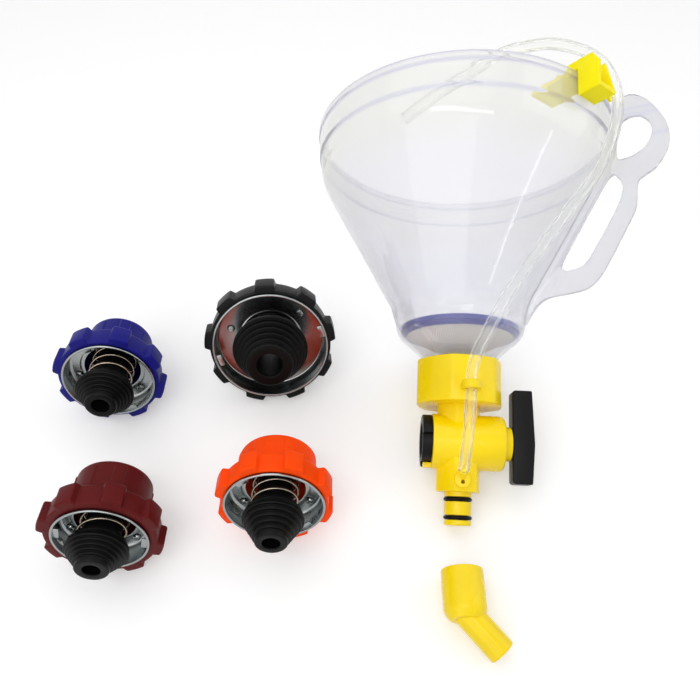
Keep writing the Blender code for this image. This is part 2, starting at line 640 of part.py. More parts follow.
def build_funnel(frame, mats):
    funnel = turned("funnel", outer_wall() + inner_wall(), FUNNEL_SEGMENTS, closed=True)
    handle = plate(
        "handle_plate", [handle_outline(), on_handle(LOOP_HOLE_SHARES), on_handle(SLOT_SHARES)],
        HANDLE_THICKNESS)
    upright = Matrix.Rotation(-HANDLE_LEAN, 4, "Z") @ Matrix.Rotation(math.pi / 2, 4, "X")
    join(funnel, handle, frame, turn=upright)
    smooth(funnel)
    as_part(place_object(funnel, frame), mats["clear"])

    sealing = [
        (NECK_RADIUS, NECK_FOOT - FIT_GAP), (NECK_RADIUS, COLLAR_FOOT + COLLAR_FLOOR + FIT_GAP),
        (NECK_RADIUS - GASKET_WIDTH, COLLAR_FOOT + COLLAR_FLOOR + FIT_GAP),
        (NECK_RADIUS - GASKET_WIDTH, NECK_FOOT - FIT_GAP),
    ]
    gasket = turned("neck_gasket", sealing, ROUND_SEGMENTS, closed=True)
    as_part(place_object(gasket, frame), mats["rubber"])


def build_strainer(frame, mats):
    top = STRAINER_RING_TOP
    foot = STRAINER_RING_FOOT
    skirt = foot - STRAINER_SKIRT_DEPTH
    inner = STRAINER_RING_RADIUS - STRAINER_RING_WALL
    profile = [
        (STRAINER_RING_RADIUS, top), (STRAINER_RING_RADIUS, foot),
        (inner + STRAINER_SKIRT_WALL, foot), (inner + STRAINER_SKIRT_WALL - STRAINER_SKIRT_STEP, skirt),
        (inner - STRAINER_SKIRT_STEP, skirt), (inner, top),
    ]
    hoop = turned("strainer_ring", profile, ROUND_SEGMENTS, closed=True)
    smooth(hoop)
    as_part(place_object(hoop, frame), mats["strainer"])

    edge = inner - STRAINER_SKIRT_STEP - FIT_GAP
    low = skirt - STRAINER_MESH_DROP
    sheet = STRAINER_MESH_THICKNESS
    dish = [
        (0, low + sheet), (edge - STRAINER_MESH_SLOPE_WIDTH, low + sheet), (edge - sheet, skirt + sheet),
        (edge, skirt + sheet), (edge, skirt), (edge + sheet - STRAINER_MESH_SLOPE_WIDTH, low), (0, low),
    ]
    mesh = turned("strainer_mesh", dish, ROUND_SEGMENTS)
    smooth(mesh)
    as_part(place_object(mesh, frame), mats["mesh"])


# The valve body and what turns in it

def spigot_profile():
    """The spigot's outer side from inside the stem down to its end, with two ring grooves."""
    groove = SPIGOT_RADIUS + SPIGOT_ORING_PROUD - 2 * SPIGOT_ORING_WIRE - FIT_GAP
    half = SPIGOT_ORING_WIRE + FIT_GAP
    points = [(0, STEM_FOOT + OVERRUN), (SPIGOT_RADIUS, STEM_FOOT + OVERRUN)]
    for middle in (SPIGOT_ORING_UPPER, SPIGOT_ORING_LOWER):
        points += [
            (SPIGOT_RADIUS, middle + half), (groove, middle + half),
            (groove, middle - half), (SPIGOT_RADIUS, middle - half),
        ]
    return points + [(SPIGOT_RADIUS, SPIGOT_CHAMFER), (SPIGOT_RADIUS - SPIGOT_CHAMFER, 0), (0, 0)]


def barrel_profile():
    """The housing and the hub along the rotor's axis, from the knob side to the black end."""
    shoulder = BARREL_RIGHT - BARREL_ROUNDING
    edge = BARREL_RADIUS - BARREL_ROUNDING
    diagonal = math.sqrt(0.5)
    return [
        (0, BARREL_RIGHT + HUB_LENGTH), (HUB_RADIUS, BARREL_RIGHT + HUB_LENGTH),
        (HUB_RADIUS, BARREL_RIGHT), (edge, BARREL_RIGHT),
        (edge + BARREL_ROUNDING * diagonal, shoulder + BARREL_ROUNDING * diagonal),
        (BARREL_RADIUS, shoulder), (BARREL_RADIUS, BARREL_LEFT), (0, BARREL_LEFT),
    ]


def build_valve_body(frame, rotor_axis, mats):
    body = hex_prism("valve_body", COLLAR_CORNER_RADIUS, COLLAR_FACE_RADIUS, COLLAR_FOOT, COLLAR_TOP)
    hexed = Matrix.Rotation(-HEX_TURN, 4, "Z")
    stem_top = COLLAR_FOOT + COLLAR_FLOOR / 2
    stem = hex_prism("stem_core", STEM_CORNER_RADIUS, STEM_FACE_RADIUS, STEM_FOOT, stem_top)
    join(body, stem, frame, turn=hexed)
    barrel = turned("barrel_core", barrel_profile(), ROUND_SEGMENTS)
    join(body, barrel, rotor_axis, turn=half_step(ROUND_SEGMENTS))
    join(body, turned("spigot_core", spigot_profile(), ROUND_SEGMENTS), frame)

    # The hose nipple leans up from a round boss on the front of the stem
    nipple_place = (NIPPLE_SIDE, 0, NIPPLE_HEIGHT)
    outward = Matrix.Rotation(math.pi / 2, 4, "X")
    boss = rod("nipple_boss", NIPPLE_BOSS_RADIUS, 0, NIPPLE_BOSS_REACH, SMALL_SEGMENTS)
    join(body, boss, frame, nipple_place, outward @ half_step(SMALL_SEGMENTS))
    root = (NIPPLE_SIDE, -NIPPLE_BOSS_REACH + NIPPLE_BOSS_RADIUS / 2, NIPPLE_HEIGHT)
    length = (NIPPLE_REACH + root[1]) / math.cos(NIPPLE_TILT)
    leaning = Matrix.Rotation(math.pi / 2 - NIPPLE_TILT, 4, "X")
    join(body, rod("nipple_core", NIPPLE_RADIUS, 0, length, SMALL_SEGMENTS), frame, root, leaning)

    # The eyelet that guides the hose past the collar
    web_top = EYELET_FOOT + EYELET_WEB_SHARE * EYELET_DEPTH
    web_half = EYELET_RADIUS - FIT_GAP
    web_low = (EYELET_SIDE - web_half, -EYELET_REACH, EYELET_FOOT + FIT_GAP)
    web_high = (EYELET_SIDE + web_half, COLLAR_WALL - COLLAR_FACE_RADIUS, web_top)
    join(body, block("eyelet_web", web_low, web_high), frame)
    hoop = rod("eyelet_core", EYELET_RADIUS, EYELET_FOOT, EYELET_FOOT + EYELET_DEPTH, SMALL_SEGMENTS)
    join(body, hoop, frame, (EYELET_SIDE, -EYELET_REACH, 0))

    # The tab that stops the rotor lies in the rotor's own axes, where +X points to the spigot
    tab_low = (STOP_TAB_FOOT_RADIUS, -STOP_TAB_WIDTH / 2, BARREL_LEFT - STOP_TAB_LENGTH)
    tab_high = (BARREL_RADIUS - STOP_TAB_INSET, STOP_TAB_WIDTH / 2, BARREL_LEFT + OVERRUN)
    join(body, block("stop_tab", tab_low, tab_high), rotor_axis)

    floor = COLLAR_FOOT + COLLAR_FLOOR
    waterway = [
        (0, COLLAR_TOP + OVERRUN), (NECK_RADIUS + FIT_GAP, COLLAR_TOP + OVERRUN),
        (NECK_RADIUS + FIT_GAP, floor), (FLOW_BORE_RADIUS, floor),
        (FLOW_BORE_RADIUS, STEM_FOOT + OVERRUN), (SPIGOT_BORE_RADIUS, STEM_FOOT),
        (SPIGOT_BORE_RADIUS, -OVERRUN), (0, -OVERRUN),
    ]
    cut(body, turned("flow_bore", waterway, ROUND_SEGMENTS), frame, turn=half_step(ROUND_SEGMENTS))
    far_end, near_end = BARREL_RIGHT + HUB_LENGTH + OVERRUN, BARREL_LEFT - OVERRUN
    seat = [
        (0, far_end), (SPINDLE_RADIUS + ROTOR_RUN, far_end), (SPINDLE_RADIUS + ROTOR_RUN, ROTOR_BORE_END),
        (ROTOR_BORE_RADIUS, ROTOR_BORE_END), (ROTOR_BORE_RADIUS, near_end), (0, near_end),
    ]
    cut(body, turned("rotor_bore", seat, ROUND_SEGMENTS), rotor_axis)
    vent = rod("nipple_bore", NIPPLE_BORE_RADIUS, -NIPPLE_BOSS_REACH, length + OVERRUN, FINE_SEGMENTS)
    cut(body, vent, frame, root, leaning @ half_step(SMALL_SEGMENTS))
    guide = rod("eyelet_bore", HOSE_RADIUS + HOSE_PLAY, EYELET_FOOT - OVERRUN,
                EYELET_FOOT + EYELET_DEPTH + OVERRUN, SMALL_SEGMENTS)
    cut(body, guide, frame, (EYELET_SIDE, -EYELET_REACH, 0), half_step(SMALL_SEGMENTS))
    smooth(body)
    as_part(place_object(body, frame, turn=hexed), mats["yellow"])

    middle = SPIGOT_RADIUS + SPIGOT_ORING_PROUD - SPIGOT_ORING_WIRE
    for label, height in (("upper", SPIGOT_ORING_UPPER), ("lower", SPIGOT_ORING_LOWER)):
        seal = ring("spigot_oring_" + label, middle, SPIGOT_ORING_WIRE)
        smooth(seal, RING_SMOOTH_DEGREES)
        as_part(place_object(seal, frame, (0, 0, height)), mats["rubber"])


def build_rotor(rotor_axis, mats):
    radius = ROTOR_BORE_RADIUS - ROTOR_RUN
    head_inner = BARREL_LEFT - ROTOR_RUN
    head_outer = head_inner - ROTOR_HEAD_LENGTH
    groove = radius - 2 * ROTOR_RING_WIRE - FIT_GAP
    half = ROTOR_RING_WIRE + FIT_GAP
    profile = [(0, SPINDLE_END), (SPINDLE_RADIUS, SPINDLE_END)]
    profile += [(SPINDLE_RADIUS, ROTOR_BORE_END - ROTOR_RUN), (radius, ROTOR_BORE_END - ROTOR_RUN)]
    for middle in (ROTOR_RING_RIGHT, ROTOR_RING_LEFT):
        profile += [
            (radius, middle + half), (groove, middle + half),
            (groove, middle - half), (radius, middle - half),
        ]
    profile += [
        (radius, head_inner), (ROTOR_HEAD_RADIUS, head_inner), (ROTOR_HEAD_RADIUS, head_outer),
        (ROTOR_POCKET_RADIUS, head_outer), (ROTOR_POCKET_RADIUS, head_inner - ROTOR_HEAD_FLOOR),
        (0, head_inner - ROTOR_HEAD_FLOOR),
    ]
    rotor = turned("valve_barrel", profile, ROUND_SEGMENTS)
    across = Matrix.Rotation(math.pi / 2, 4, "Y")
    reach = BARREL_RADIUS
    waterway = rod("rotor_waterway", FLOW_BORE_RADIUS, -reach, reach, SMALL_SEGMENTS)
    cut(rotor, waterway, rotor_axis, turn=across @ half_step(SMALL_SEGMENTS))
    hole = rod("screw_hole", KNOB_SCREW_RADIUS + FIT_GAP, SPINDLE_END - KNOB_SCREW_LENGTH - FIT_GAP,
               SPINDLE_END + OVERRUN, FINE_SEGMENTS)
    cut(rotor, hole, rotor_axis, turn=half_step(FINE_SEGMENTS))

    # The stop tab runs in a notch in the head's edge, a quarter turn long
    tab_half = math.asin(STOP_TAB_WIDTH / 2 / STOP_TAB_FOOT_RADIUS) + STOP_PLAY
    floor = STOP_TAB_FOOT_RADIUS - FIT_GAP
    outline = notch_outline(floor, BARREL_RADIUS + OVERRUN, -tab_half - VALVE_TURN, tab_half)
    notch = plate("stop_notch", [outline], ROTOR_HEAD_LENGTH + 2 * OVERRUN)
    cut(rotor, notch, rotor_axis, (0, 0, (head_inner + head_outer) / 2))
    smooth(rotor)
    as_part(place_object(rotor, rotor_axis), mats["black"])

    middle = radius - ROTOR_RING_WIRE
    for label, place in (("left", ROTOR_RING_LEFT), ("right", ROTOR_RING_RIGHT)):
        seal = ring("barrel_oring_" + label, middle, ROTOR_RING_WIRE)
        smooth(seal, RING_SMOOTH_DEGREES)
        as_part(place_object(seal, rotor_axis, (0, 0, place)), mats["rubber"])


def notch_outline(inner, outer, start, end, steps=7):
    """A sector between two radii, as a closed outline."""
    angles = [start + (end - start) * index / steps for index in range(steps + 1)]
    low = [(inner * math.cos(angle), inner * math.sin(angle)) for angle in angles]
    high = [(outer * math.cos(angle), outer * math.sin(angle)) for angle in reversed(angles)]
    return low + high


def build_knob(rotor_axis, mats):
    # In the rotor's axes +X points to the spigot, so the knob's long end lies on -X
    outer = KNOB_OUTER
    outline = [
        (-KNOB_LONG_END, KNOB_INNER), (KNOB_SHORT_END, KNOB_INNER),
        (KNOB_SHORT_END, outer - KNOB_TAPER), (0, outer), (-KNOB_LONG_END, outer - KNOB_TAPER),
    ]
    knob = plate("knob", [outline], KNOB_DEPTH)
    add_bevel(knob, KNOB_ROUNDING, limit=20.0)
    upright = Matrix.Rotation(math.pi / 2, 4, "X")
    back = upright.inverted()
    axis = make_empty("knob_frame", rotor_axis, turn=upright)
    hollow = rod("knob_socket", SPINDLE_RADIUS + FIT_GAP, KNOB_INNER - OVERRUN,
                 SPINDLE_END + FIT_GAP, SMALL_SEGMENTS)
    cut(knob, hollow, axis, turn=back)
    sink = rod("knob_counterbore", KNOB_SCREW_HEAD_RADIUS + FIT_GAP,
               outer - KNOB_SCREW_HEAD_DEPTH - FIT_GAP, outer + OVERRUN, ROUND_SEGMENTS)
    cut(knob, sink, axis, turn=back @ half_step(ROUND_SEGMENTS))
    passage = rod("knob_screw_bore", KNOB_SCREW_RADIUS + FIT_GAP, KNOB_INNER, outer + OVERRUN, FINE_SEGMENTS)
    cut(knob, passage, axis, turn=back @ half_step(SMALL_SEGMENTS))
    smooth(knob)
    as_part(place_object(knob, axis), mats["black"])

    seat = outer - KNOB_SCREW_HEAD_DEPTH
    tip = SPINDLE_END - KNOB_SCREW_LENGTH
    profile = [
        (0, outer - FIT_GAP), (KNOB_SCREW_HEAD_RADIUS, outer - FIT_GAP), (KNOB_SCREW_HEAD_RADIUS, seat),
        (KNOB_SCREW_RADIUS, seat), (KNOB_SCREW_RADIUS, tip), (0, tip),
    ]
    as_part(place_object(turned("knob_screw", profile, SMALL_SEGMENTS), rotor_axis), mats["steel"])


# The hose and its clip

def build_hose(frame, mats):
    route = [Vector(point) * MM for point in HOSE_ROUTE_MM]
    points = smooth_route(route, HOSE_POINT_STEP)
    hose = tube("hose", points, HOSE_RADIUS, 2)
    length = sum((end - start).length for start, end in zip(points, points[1:]))
    print("hose length mm", round(length / MM, 1), "points", len(points))
    as_part(place_object(hose, frame), mats["hose"])


def build_clip(frame, mats):
    # Local X runs outward over the rim, local Z up along the funnel's axis
    seat = make_empty("clip_frame", frame, turn=Matrix.Rotation(-CLIP_ANGLE, 4, "Z"))
    wall_out = RIM_RADIUS + CLIP_SLOT_GAP / 2
    wall_in = RIM_RADIUS - RIM_ROUNDING - FUNNEL_WALL - CLIP_SLOT_GAP - RIM_ROUNDING
    outer = wall_out + CLIP_OUTER_DEPTH
    inner = wall_in - CLIP_INNER_THICKNESS
    foot = RIM_HEIGHT - CLIP_DROP
    head_foot = RIM_HEIGHT + FIT_GAP
    head_top = head_foot + CLIP_HEAD_THICKNESS
    tongue_foot = RIM_HEIGHT - CLIP_TONGUE_DROP
    tongue_top = tongue_foot + CLIP_TONGUE_THICKNESS
    tongue_end = inner - CLIP_TONGUE_REACH
    hook = [
        (wall_out, foot), (outer, foot), (outer, RIM_HEIGHT - CLIP_SHOULDER_DROP),
        (outer - CLIP_HEAD_TAPER, head_top), (inner, head_top), (inner, tongue_top),
        (tongue_end, tongue_top), (tongue_end, tongue_foot), (wall_in, tongue_foot),
        (wall_in, head_foot), (wall_out, head_foot),
    ]
    clip = plate("hose_clip", [hook], CLIP_WIDTH)
    clip.data.transform(Matrix.Rotation(math.pi / 2, 4, "X"))
    cheek = CLIP_WIDTH / 2 - CLIP_POCKET_WALL
    pocket_low = (wall_out + CLIP_POCKET_WEB, -cheek, foot + CLIP_POCKET_SHELF)
    pocket_high = (outer + OVERRUN, cheek, head_top + OVERRUN)
    cut(clip, block("clip_pocket", pocket_low, pocket_high), seat)

    # An arm on the knob side of the clip ends in a cradle behind the hose
    bore = HOSE_RADIUS + HOSE_PLAY
    reach = bore + CLIP_HOLDER_WALL
    holder_middle = RIM_HEIGHT - CLIP_HOLDER_DROP
    holder_low = holder_middle - CLIP_HOLDER_DEPTH / 2
    holder_high = holder_middle + CLIP_HOLDER_DEPTH / 2
    middle = (RIM_RADIUS + CLIP_HOLDER_OUT, CLIP_HOLDER_SIDE, 0)
    arm_end = CLIP_HOLDER_SIDE - bore - FIT_GAP
    arm_inner = wall_out + FIT_GAP
    arm_low = (arm_inner, 0, holder_middle - CLIP_ARM_DEPTH / 2)
    arm_high = (arm_inner + CLIP_ARM_THICKNESS, arm_end, holder_middle + CLIP_ARM_DEPTH / 2)
    join(clip, block("clip_arm", arm_low, arm_high), seat)
    holder = rod("holder_core", reach, holder_low, holder_high, SMALL_SEGMENTS)
    join(clip, holder, seat, middle, half_step(SMALL_SEGMENTS))
    hollow = rod("holder_bore", bore, holder_low - OVERRUN, holder_high + OVERRUN, SMALL_SEGMENTS)
    cut(clip, hollow, seat, middle)
    beyond = reach + OVERRUN
    open_low, open_high = holder_low - OVERRUN, holder_high + OVERRUN
    front = block("holder_front", (CLIP_HOLDER_SPARE, -beyond, open_low), (beyond, beyond, open_high))
    cut(clip, front, seat, middle)
    flank = block("holder_flank", (-beyond, CLIP_HOLDER_SPARE, open_low), (beyond, beyond, open_high))
    cut(clip, flank, seat, middle)
    as_part(place_object(clip, seat), mats["clip"])


# The elbow

def build_elbow(kit, mats):
    # Local Z runs up the socket; it lies on its socket, rolled until the spout touches down
    side_reach = ELBOW_SPOUT_LENGTH * math.sin(ELBOW_BEND)
    roll = math.asin((ELBOW_SOCKET_RADIUS - ELBOW_SPOUT_RADIUS) / side_reach)
    laid = Matrix.Rotation(roll, 4, "Y") @ Matrix.Rotation(-math.pi / 2, 4, "X")
    frame = make_empty("elbow_frame", kit, (*ELBOW_PLACE, ELBOW_SOCKET_RADIUS), laid)
    profile = [
        (0, ELBOW_SOCKET_LENGTH), (ELBOW_SOCKET_RADIUS, ELBOW_SOCKET_LENGTH),
        (ELBOW_SOCKET_RADIUS, ELBOW_SOCKET_TAPER_DEPTH),
        (ELBOW_SOCKET_RADIUS - ELBOW_SOCKET_TAPER, 0), (0, 0),
    ]
    elbow = turned("elbow", profile, ROUND_SEGMENTS)
    outward = Matrix.Rotation(math.pi - ELBOW_BEND, 4, "Y")
    knuckle = (0, 0, ELBOW_KNUCKLE)
    end, rounding = ELBOW_SPOUT_LENGTH, ELBOW_SPOUT_ROUNDING
    spout = [
        (0, end), (ELBOW_SPOUT_RADIUS - rounding, end), (ELBOW_SPOUT_RADIUS, end - rounding),
        (ELBOW_SPOUT_RADIUS, 0), (0, -ELBOW_KNUCKLE),
    ]
    join(elbow, turned("spout_core", spout, ROUND_SEGMENTS), frame, knuckle,
         outward @ half_step(ROUND_SEGMENTS))
    well = [
        (0, ELBOW_SOCKET_LENGTH + OVERRUN), (SOCKET_RADIUS, ELBOW_SOCKET_LENGTH + OVERRUN),
        (SOCKET_RADIUS, ELBOW_SOCKET_FLOOR),
        (ELBOW_SPOUT_BORE_RADIUS, ELBOW_SOCKET_FLOOR - OVERRUN),
        (0, ELBOW_SOCKET_FLOOR - OVERRUN),
    ]
    cut(elbow, turned("elbow_socket", well, ROUND_SEGMENTS), frame, turn=half_step(ROUND_SEGMENTS))
    bore = rod("elbow_bore", ELBOW_SPOUT_BORE_RADIUS, -OVERRUN / 2, end + OVERRUN, SMALL_SEGMENTS)
    cut(elbow, bore, frame, knuckle, outward @ half_step(SMALL_SEGMENTS))
    smooth(elbow)
    as_part(place_object(elbow, frame), mats["yellow"])
    return frame


# The adapters

def plug_profile(size):
    """Rubber plug from its tip back: outer steps down to the widest disc, then the stem's pocket."""
    tip, widest = size["plug_tip"], size["plug_widest"]
    shoulder = tip - size["tip_length"]
    rise = (shoulder - widest) / PLUG_STEPS
    narrowing = (size["plug_radius"] - size["tip_radius"]) / (PLUG_STEPS + 1)
    outer = [(size["tip_radius"], tip), (size["tip_radius"], shoulder)]
    for index in range(PLUG_STEPS):
        radius = size["tip_radius"] + narrowing * (index + 1)
        outer += [(radius, shoulder - rise * index), (radius, shoulder - rise * (index + 1))]
    outer += [(size["plug_radius"], widest)]
    outer += [(size["plug_radius"] - PLUG_BACK_STEP, widest - size["plug_depth"])]
    pocket = size["bore_radius"] + STEM_WALL + FIT_GAP
    inner = [
        (pocket, widest - size["plug_depth"]), (pocket, tip - PLUG_WALL_AT_TIP),
        (size["bore_radius"], tip - PLUG_WALL_AT_TIP), (size["bore_radius"], tip),
    ]
    return outer + inner


def stem_profile(size):
    """Hollow stem from its tip inside the plug back to the socket at the closed end."""
    tip = size["plug_tip"] - PLUG_WALL_AT_TIP - FIT_GAP
    flange_front = size["plug_widest"] - size["plug_depth"] - FIT_GAP
    flange_back = flange_front - STEM_FLANGE
    bore, sleeve = size["bore_radius"], SOCKET_RADIUS + STEM_WALL
    tail = -size["cap_height"]
    neck = bore + STEM_WALL
    outer = [
        (neck, tip), (neck, flange_front), (size["spring_radius"] + STEM_FLANGE, flange_front),
        (size["spring_radius"] + STEM_FLANGE, flange_back), (sleeve, flange_back), (sleeve, tail),
    ]
    inner = [
        (SOCKET_RADIUS, tail), (SOCKET_RADIUS, tail + SOCKET_DEPTH),
        (bore, tail + SOCKET_DEPTH + FIT_GAP), (bore, tip),
    ]
    return outer + inner


def cup_profile(size):
    """Pressed metal cup: rolled lip, wall and a base with a wide opening."""
    radius, opening = size["cup_radius"], size["cup_opening"]
    outer = [(radius - CUP_SHEET / 2, CUP_LIP), (radius, 0), (radius, -CUP_DEPTH)]
    base = [(opening, -CUP_DEPTH), (opening, CUP_SHEET - CUP_DEPTH)]
    inner = [(radius - CUP_SHEET, CUP_SHEET - CUP_DEPTH), (radius - CUP_SHEET, 0)]
    return outer + base + inner


def cap_profile(size):
    """Grip cap: ring, body, closed end with the stem's hole, spring chamber and cup seat."""
    ring_radius = size["lug_radius"] - GRIP_LUG_HEIGHT
    body, tail = size["cap_radius"], -size["cap_height"]
    hole = SOCKET_RADIUS + STEM_WALL + FIT_GAP
    chamber = body - GRIP_WALL
    seat = size["cup_radius"] + FIT_GAP
    return [
        (ring_radius, -GRIP_FRONT), (ring_radius, -GRIP_RING_DEPTH),
        (body + GRIP_RIB_HEIGHT, -GRIP_RING_DEPTH - GRIP_EDGE), (body, tail + GRIP_EDGE),
        (body - GRIP_EDGE, tail), (hole, tail), (hole, tail + GRIP_FLOOR),
        (chamber, tail + GRIP_FLOOR), (chamber, -CUP_DEPTH - FIT_GAP),
        (seat, -CUP_DEPTH - FIT_GAP), (seat, -GRIP_FRONT),
    ]


def raise_lugs(obj, size):
    """Push out every second pair of columns of the turned cap, as lugs on the ring and ribs behind."""
    graph = bpy.context.evaluated_depsgraph_get()
    bpy.context.scene.collection.objects.link(obj)
    graph.update()
    mesh = bpy.data.meshes.new_from_object(obj.evaluated_get(graph))
    bpy.context.scene.collection.objects.unlink(obj)
    obj.modifiers.clear()
    ring_radius = size["lug_radius"] - GRIP_LUG_HEIGHT
    rib_foot = GRIP_EDGE / 2 - size["cap_height"]
    column_turn = math.tau / (size["lugs"] * GRIP_POINTS_PER_LUG)
    shape = bmesh.new()
    shape.from_mesh(mesh)
    for vert in shape.verts:
        radius = math.hypot(vert.co.x, vert.co.y)
        angle = math.atan2(vert.co.y, vert.co.x)
        lift = 0
        if abs(radius - ring_radius) < SAME_PLACE:
            lift = GRIP_LUG_HEIGHT
        elif radius > size["cap_radius"] - SAME_PLACE and rib_foot < vert.co.z < -GRIP_RING_DEPTH:
            lift = GRIP_RIB_HEIGHT
        if lift and round(angle / column_turn) % GRIP_POINTS_PER_LUG in (0, 1):
            pair = round((angle / column_turn - 0.5) / GRIP_POINTS_PER_LUG)
            centre = (pair * GRIP_POINTS_PER_LUG + 0.5) * column_turn
            angle = centre + (angle - centre) * GRIP_LUG_DRAFT
            vert.co.x = (radius + lift) * math.cos(angle)
            vert.co.y = (radius + lift) * math.sin(angle)
    shape.to_mesh(mesh)
    shape.free()
    obj.data = mesh


def build_spring(name, size, frame, mats):
    """One unbroken wire from the chamber's floor to the stem's flange."""
    low = -size["cap_height"] + GRIP_FLOOR + FIT_GAP + SPRING_WIRE_RADIUS
    high = size["plug_widest"] - size["plug_depth"] - STEM_FLANGE - 2 * FIT_GAP - SPRING_WIRE_RADIUS
    radius = size["spring_radius"] - SPRING_WIRE_RADIUS
    count = SPRING_TURNS * SPRING_POINTS_PER_TURN
    points = []
    for index in range(count + 1):
        angle = math.tau * index / SPRING_POINTS_PER_TURN
        height = low + (high - low) * index / count
        points.append(Vector((radius * math.cos(angle), radius * math.sin(angle), height)))
    gaps = [
        (points[first] - points[second]).length - 2 * SPRING_WIRE_RADIUS
        for first in range(count + 1)
        for second in range(first + SPRING_POINTS_PER_TURN // 2, count + 1)
    ]
    print(name, "least gap to itself mm", round(min(gaps) / MM, 2))
    as_part(place_object(tube(name, points, SPRING_WIRE_RADIUS, 1), frame), mats["spring"])


def build_adapter(colour, size, kit, mats):
    half_pitch = math.pi / size["lugs"]
    lug_span = size["lug_radius"] * math.cos(half_pitch) - size["cap_radius"]
    tilt = math.atan2(lug_span, size["cap_height"] - GRIP_FRONT)
    height = GRIP_FRONT * math.sin(tilt) + size["lug_radius"] * math.cos(half_pitch) * math.cos(tilt)
    laid = Matrix.Rotation(size["yaw"], 4, "Z") @ Matrix.Rotation(math.pi / 2 - tilt, 4, "X")
    frame = make_empty(colour + "_frame", kit, (*size["place"], height), laid)

    # Two lugs point down: a lug's middle lies half a column past each multiple of the pitch
    columns = size["lugs"] * GRIP_POINTS_PER_LUG
    lug_middle = 0.5 / columns * math.tau
    down = -math.pi / 2
    steps = round((down - half_pitch - lug_middle) / (2 * half_pitch))
    lug_turn = down - half_pitch - lug_middle - steps * 2 * half_pitch
    cap = turned(colour + "_grip_cap", cap_profile(size), columns, closed=True)
    raise_lugs(cap, size)
    smooth(cap)
    as_part(place_object(cap, frame, turn=Matrix.Rotation(lug_turn, 4, "Z")), mats[colour])

    cup = turned(colour + "_metal_cup", cup_profile(size), CUP_SEGMENTS, closed=True)
    for index in range(2):
        tab_in = size["cup_radius"] - CUP_SHEET - CUP_TAB_REACH
        tab = block(
            colour + "_tab_" + str(index), (tab_in, -CUP_TAB_WIDTH / 2, -2 * CUP_SHEET),
            (size["cup_radius"] - CUP_SHEET / 2, CUP_TAB_WIDTH / 2, -CUP_SHEET))
        join(cup, tab, frame, turn=Matrix.Rotation(size["tab_turn"] + index * math.pi, 4, "Z"))
    smooth(cup)
    as_part(place_object(cup, frame), mats["cup"])

    build_rivets(colour + "_rivet_", size, frame, mats)
    stem = turned(colour + "_stem", stem_profile(size), SMALL_SEGMENTS, closed=True)
    smooth(stem)
    as_part(place_object(stem, frame), mats["black"])
    build_spring(colour + "_spring", size, frame, mats)
    plug = turned(colour + "_rubber_plug", plug_profile(size), SMALL_SEGMENTS, closed=True)
    smooth(plug)
    as_part(place_object(plug, frame), mats["rubber"])
    return frame


def build_rivets(name, size, frame, mats):
    """Round rivet heads on the cup's base, each a part of its own."""
    orbit = (size["cup_opening"] + size["cup_radius"] - CUP_SHEET) / 2
    base = CUP_SHEET - CUP_DEPTH + FIT_GAP
    profile = [
        (0, base + RIVET_HEIGHT), (RIVET_RADIUS * RIVET_CROWN, base + RIVET_HEIGHT),
        (RIVET_RADIUS, base), (0, base),
    ]
    for index in range(RIVET_COUNT):
        angle = size["rivet_turn"] + index * math.tau / RIVET_COUNT
        rivet = turned(name + str(index + 1), profile, FINE_SEGMENTS)
        place = (orbit * math.cos(angle), orbit * math.sin(angle), 0)
        as_part(place_object(rivet, frame, place), mats["steel"])


# Laying the kit out

def measured_corners(names):
    """Lowest and highest corner of the named parts as they stand."""
    bpy.context.view_layer.update()
    graph = bpy.context.evaluated_depsgraph_get()
    low, high = Vector((math.inf,) * 3), Vector((-math.inf,) * 3)
    for name in names:
        found = PARTS[name].evaluated_get(graph)
        mesh = found.to_mesh()
        for vert in mesh.vertices:
            place = found.matrix_world @ vert.co
            low = Vector(map(min, low, place))
            high = Vector(map(max, high, place))
        found.to_mesh_clear()
    return low, high


def settle(frame, names):
    """Lower a group until it touches the plane z = 0."""
    low, _ = measured_corners(names)
    frame.location.z -= low.z


def report_place(label, frame, point, direction=(0, 0, 1)):
    world = frame.matrix_world
    place = world @ Vector(point)
    axis = world.to_3x3() @ Vector(direction)
    print("PLACE", label, [round(v, 6) for v in place], [round(v, 6) for v in axis])


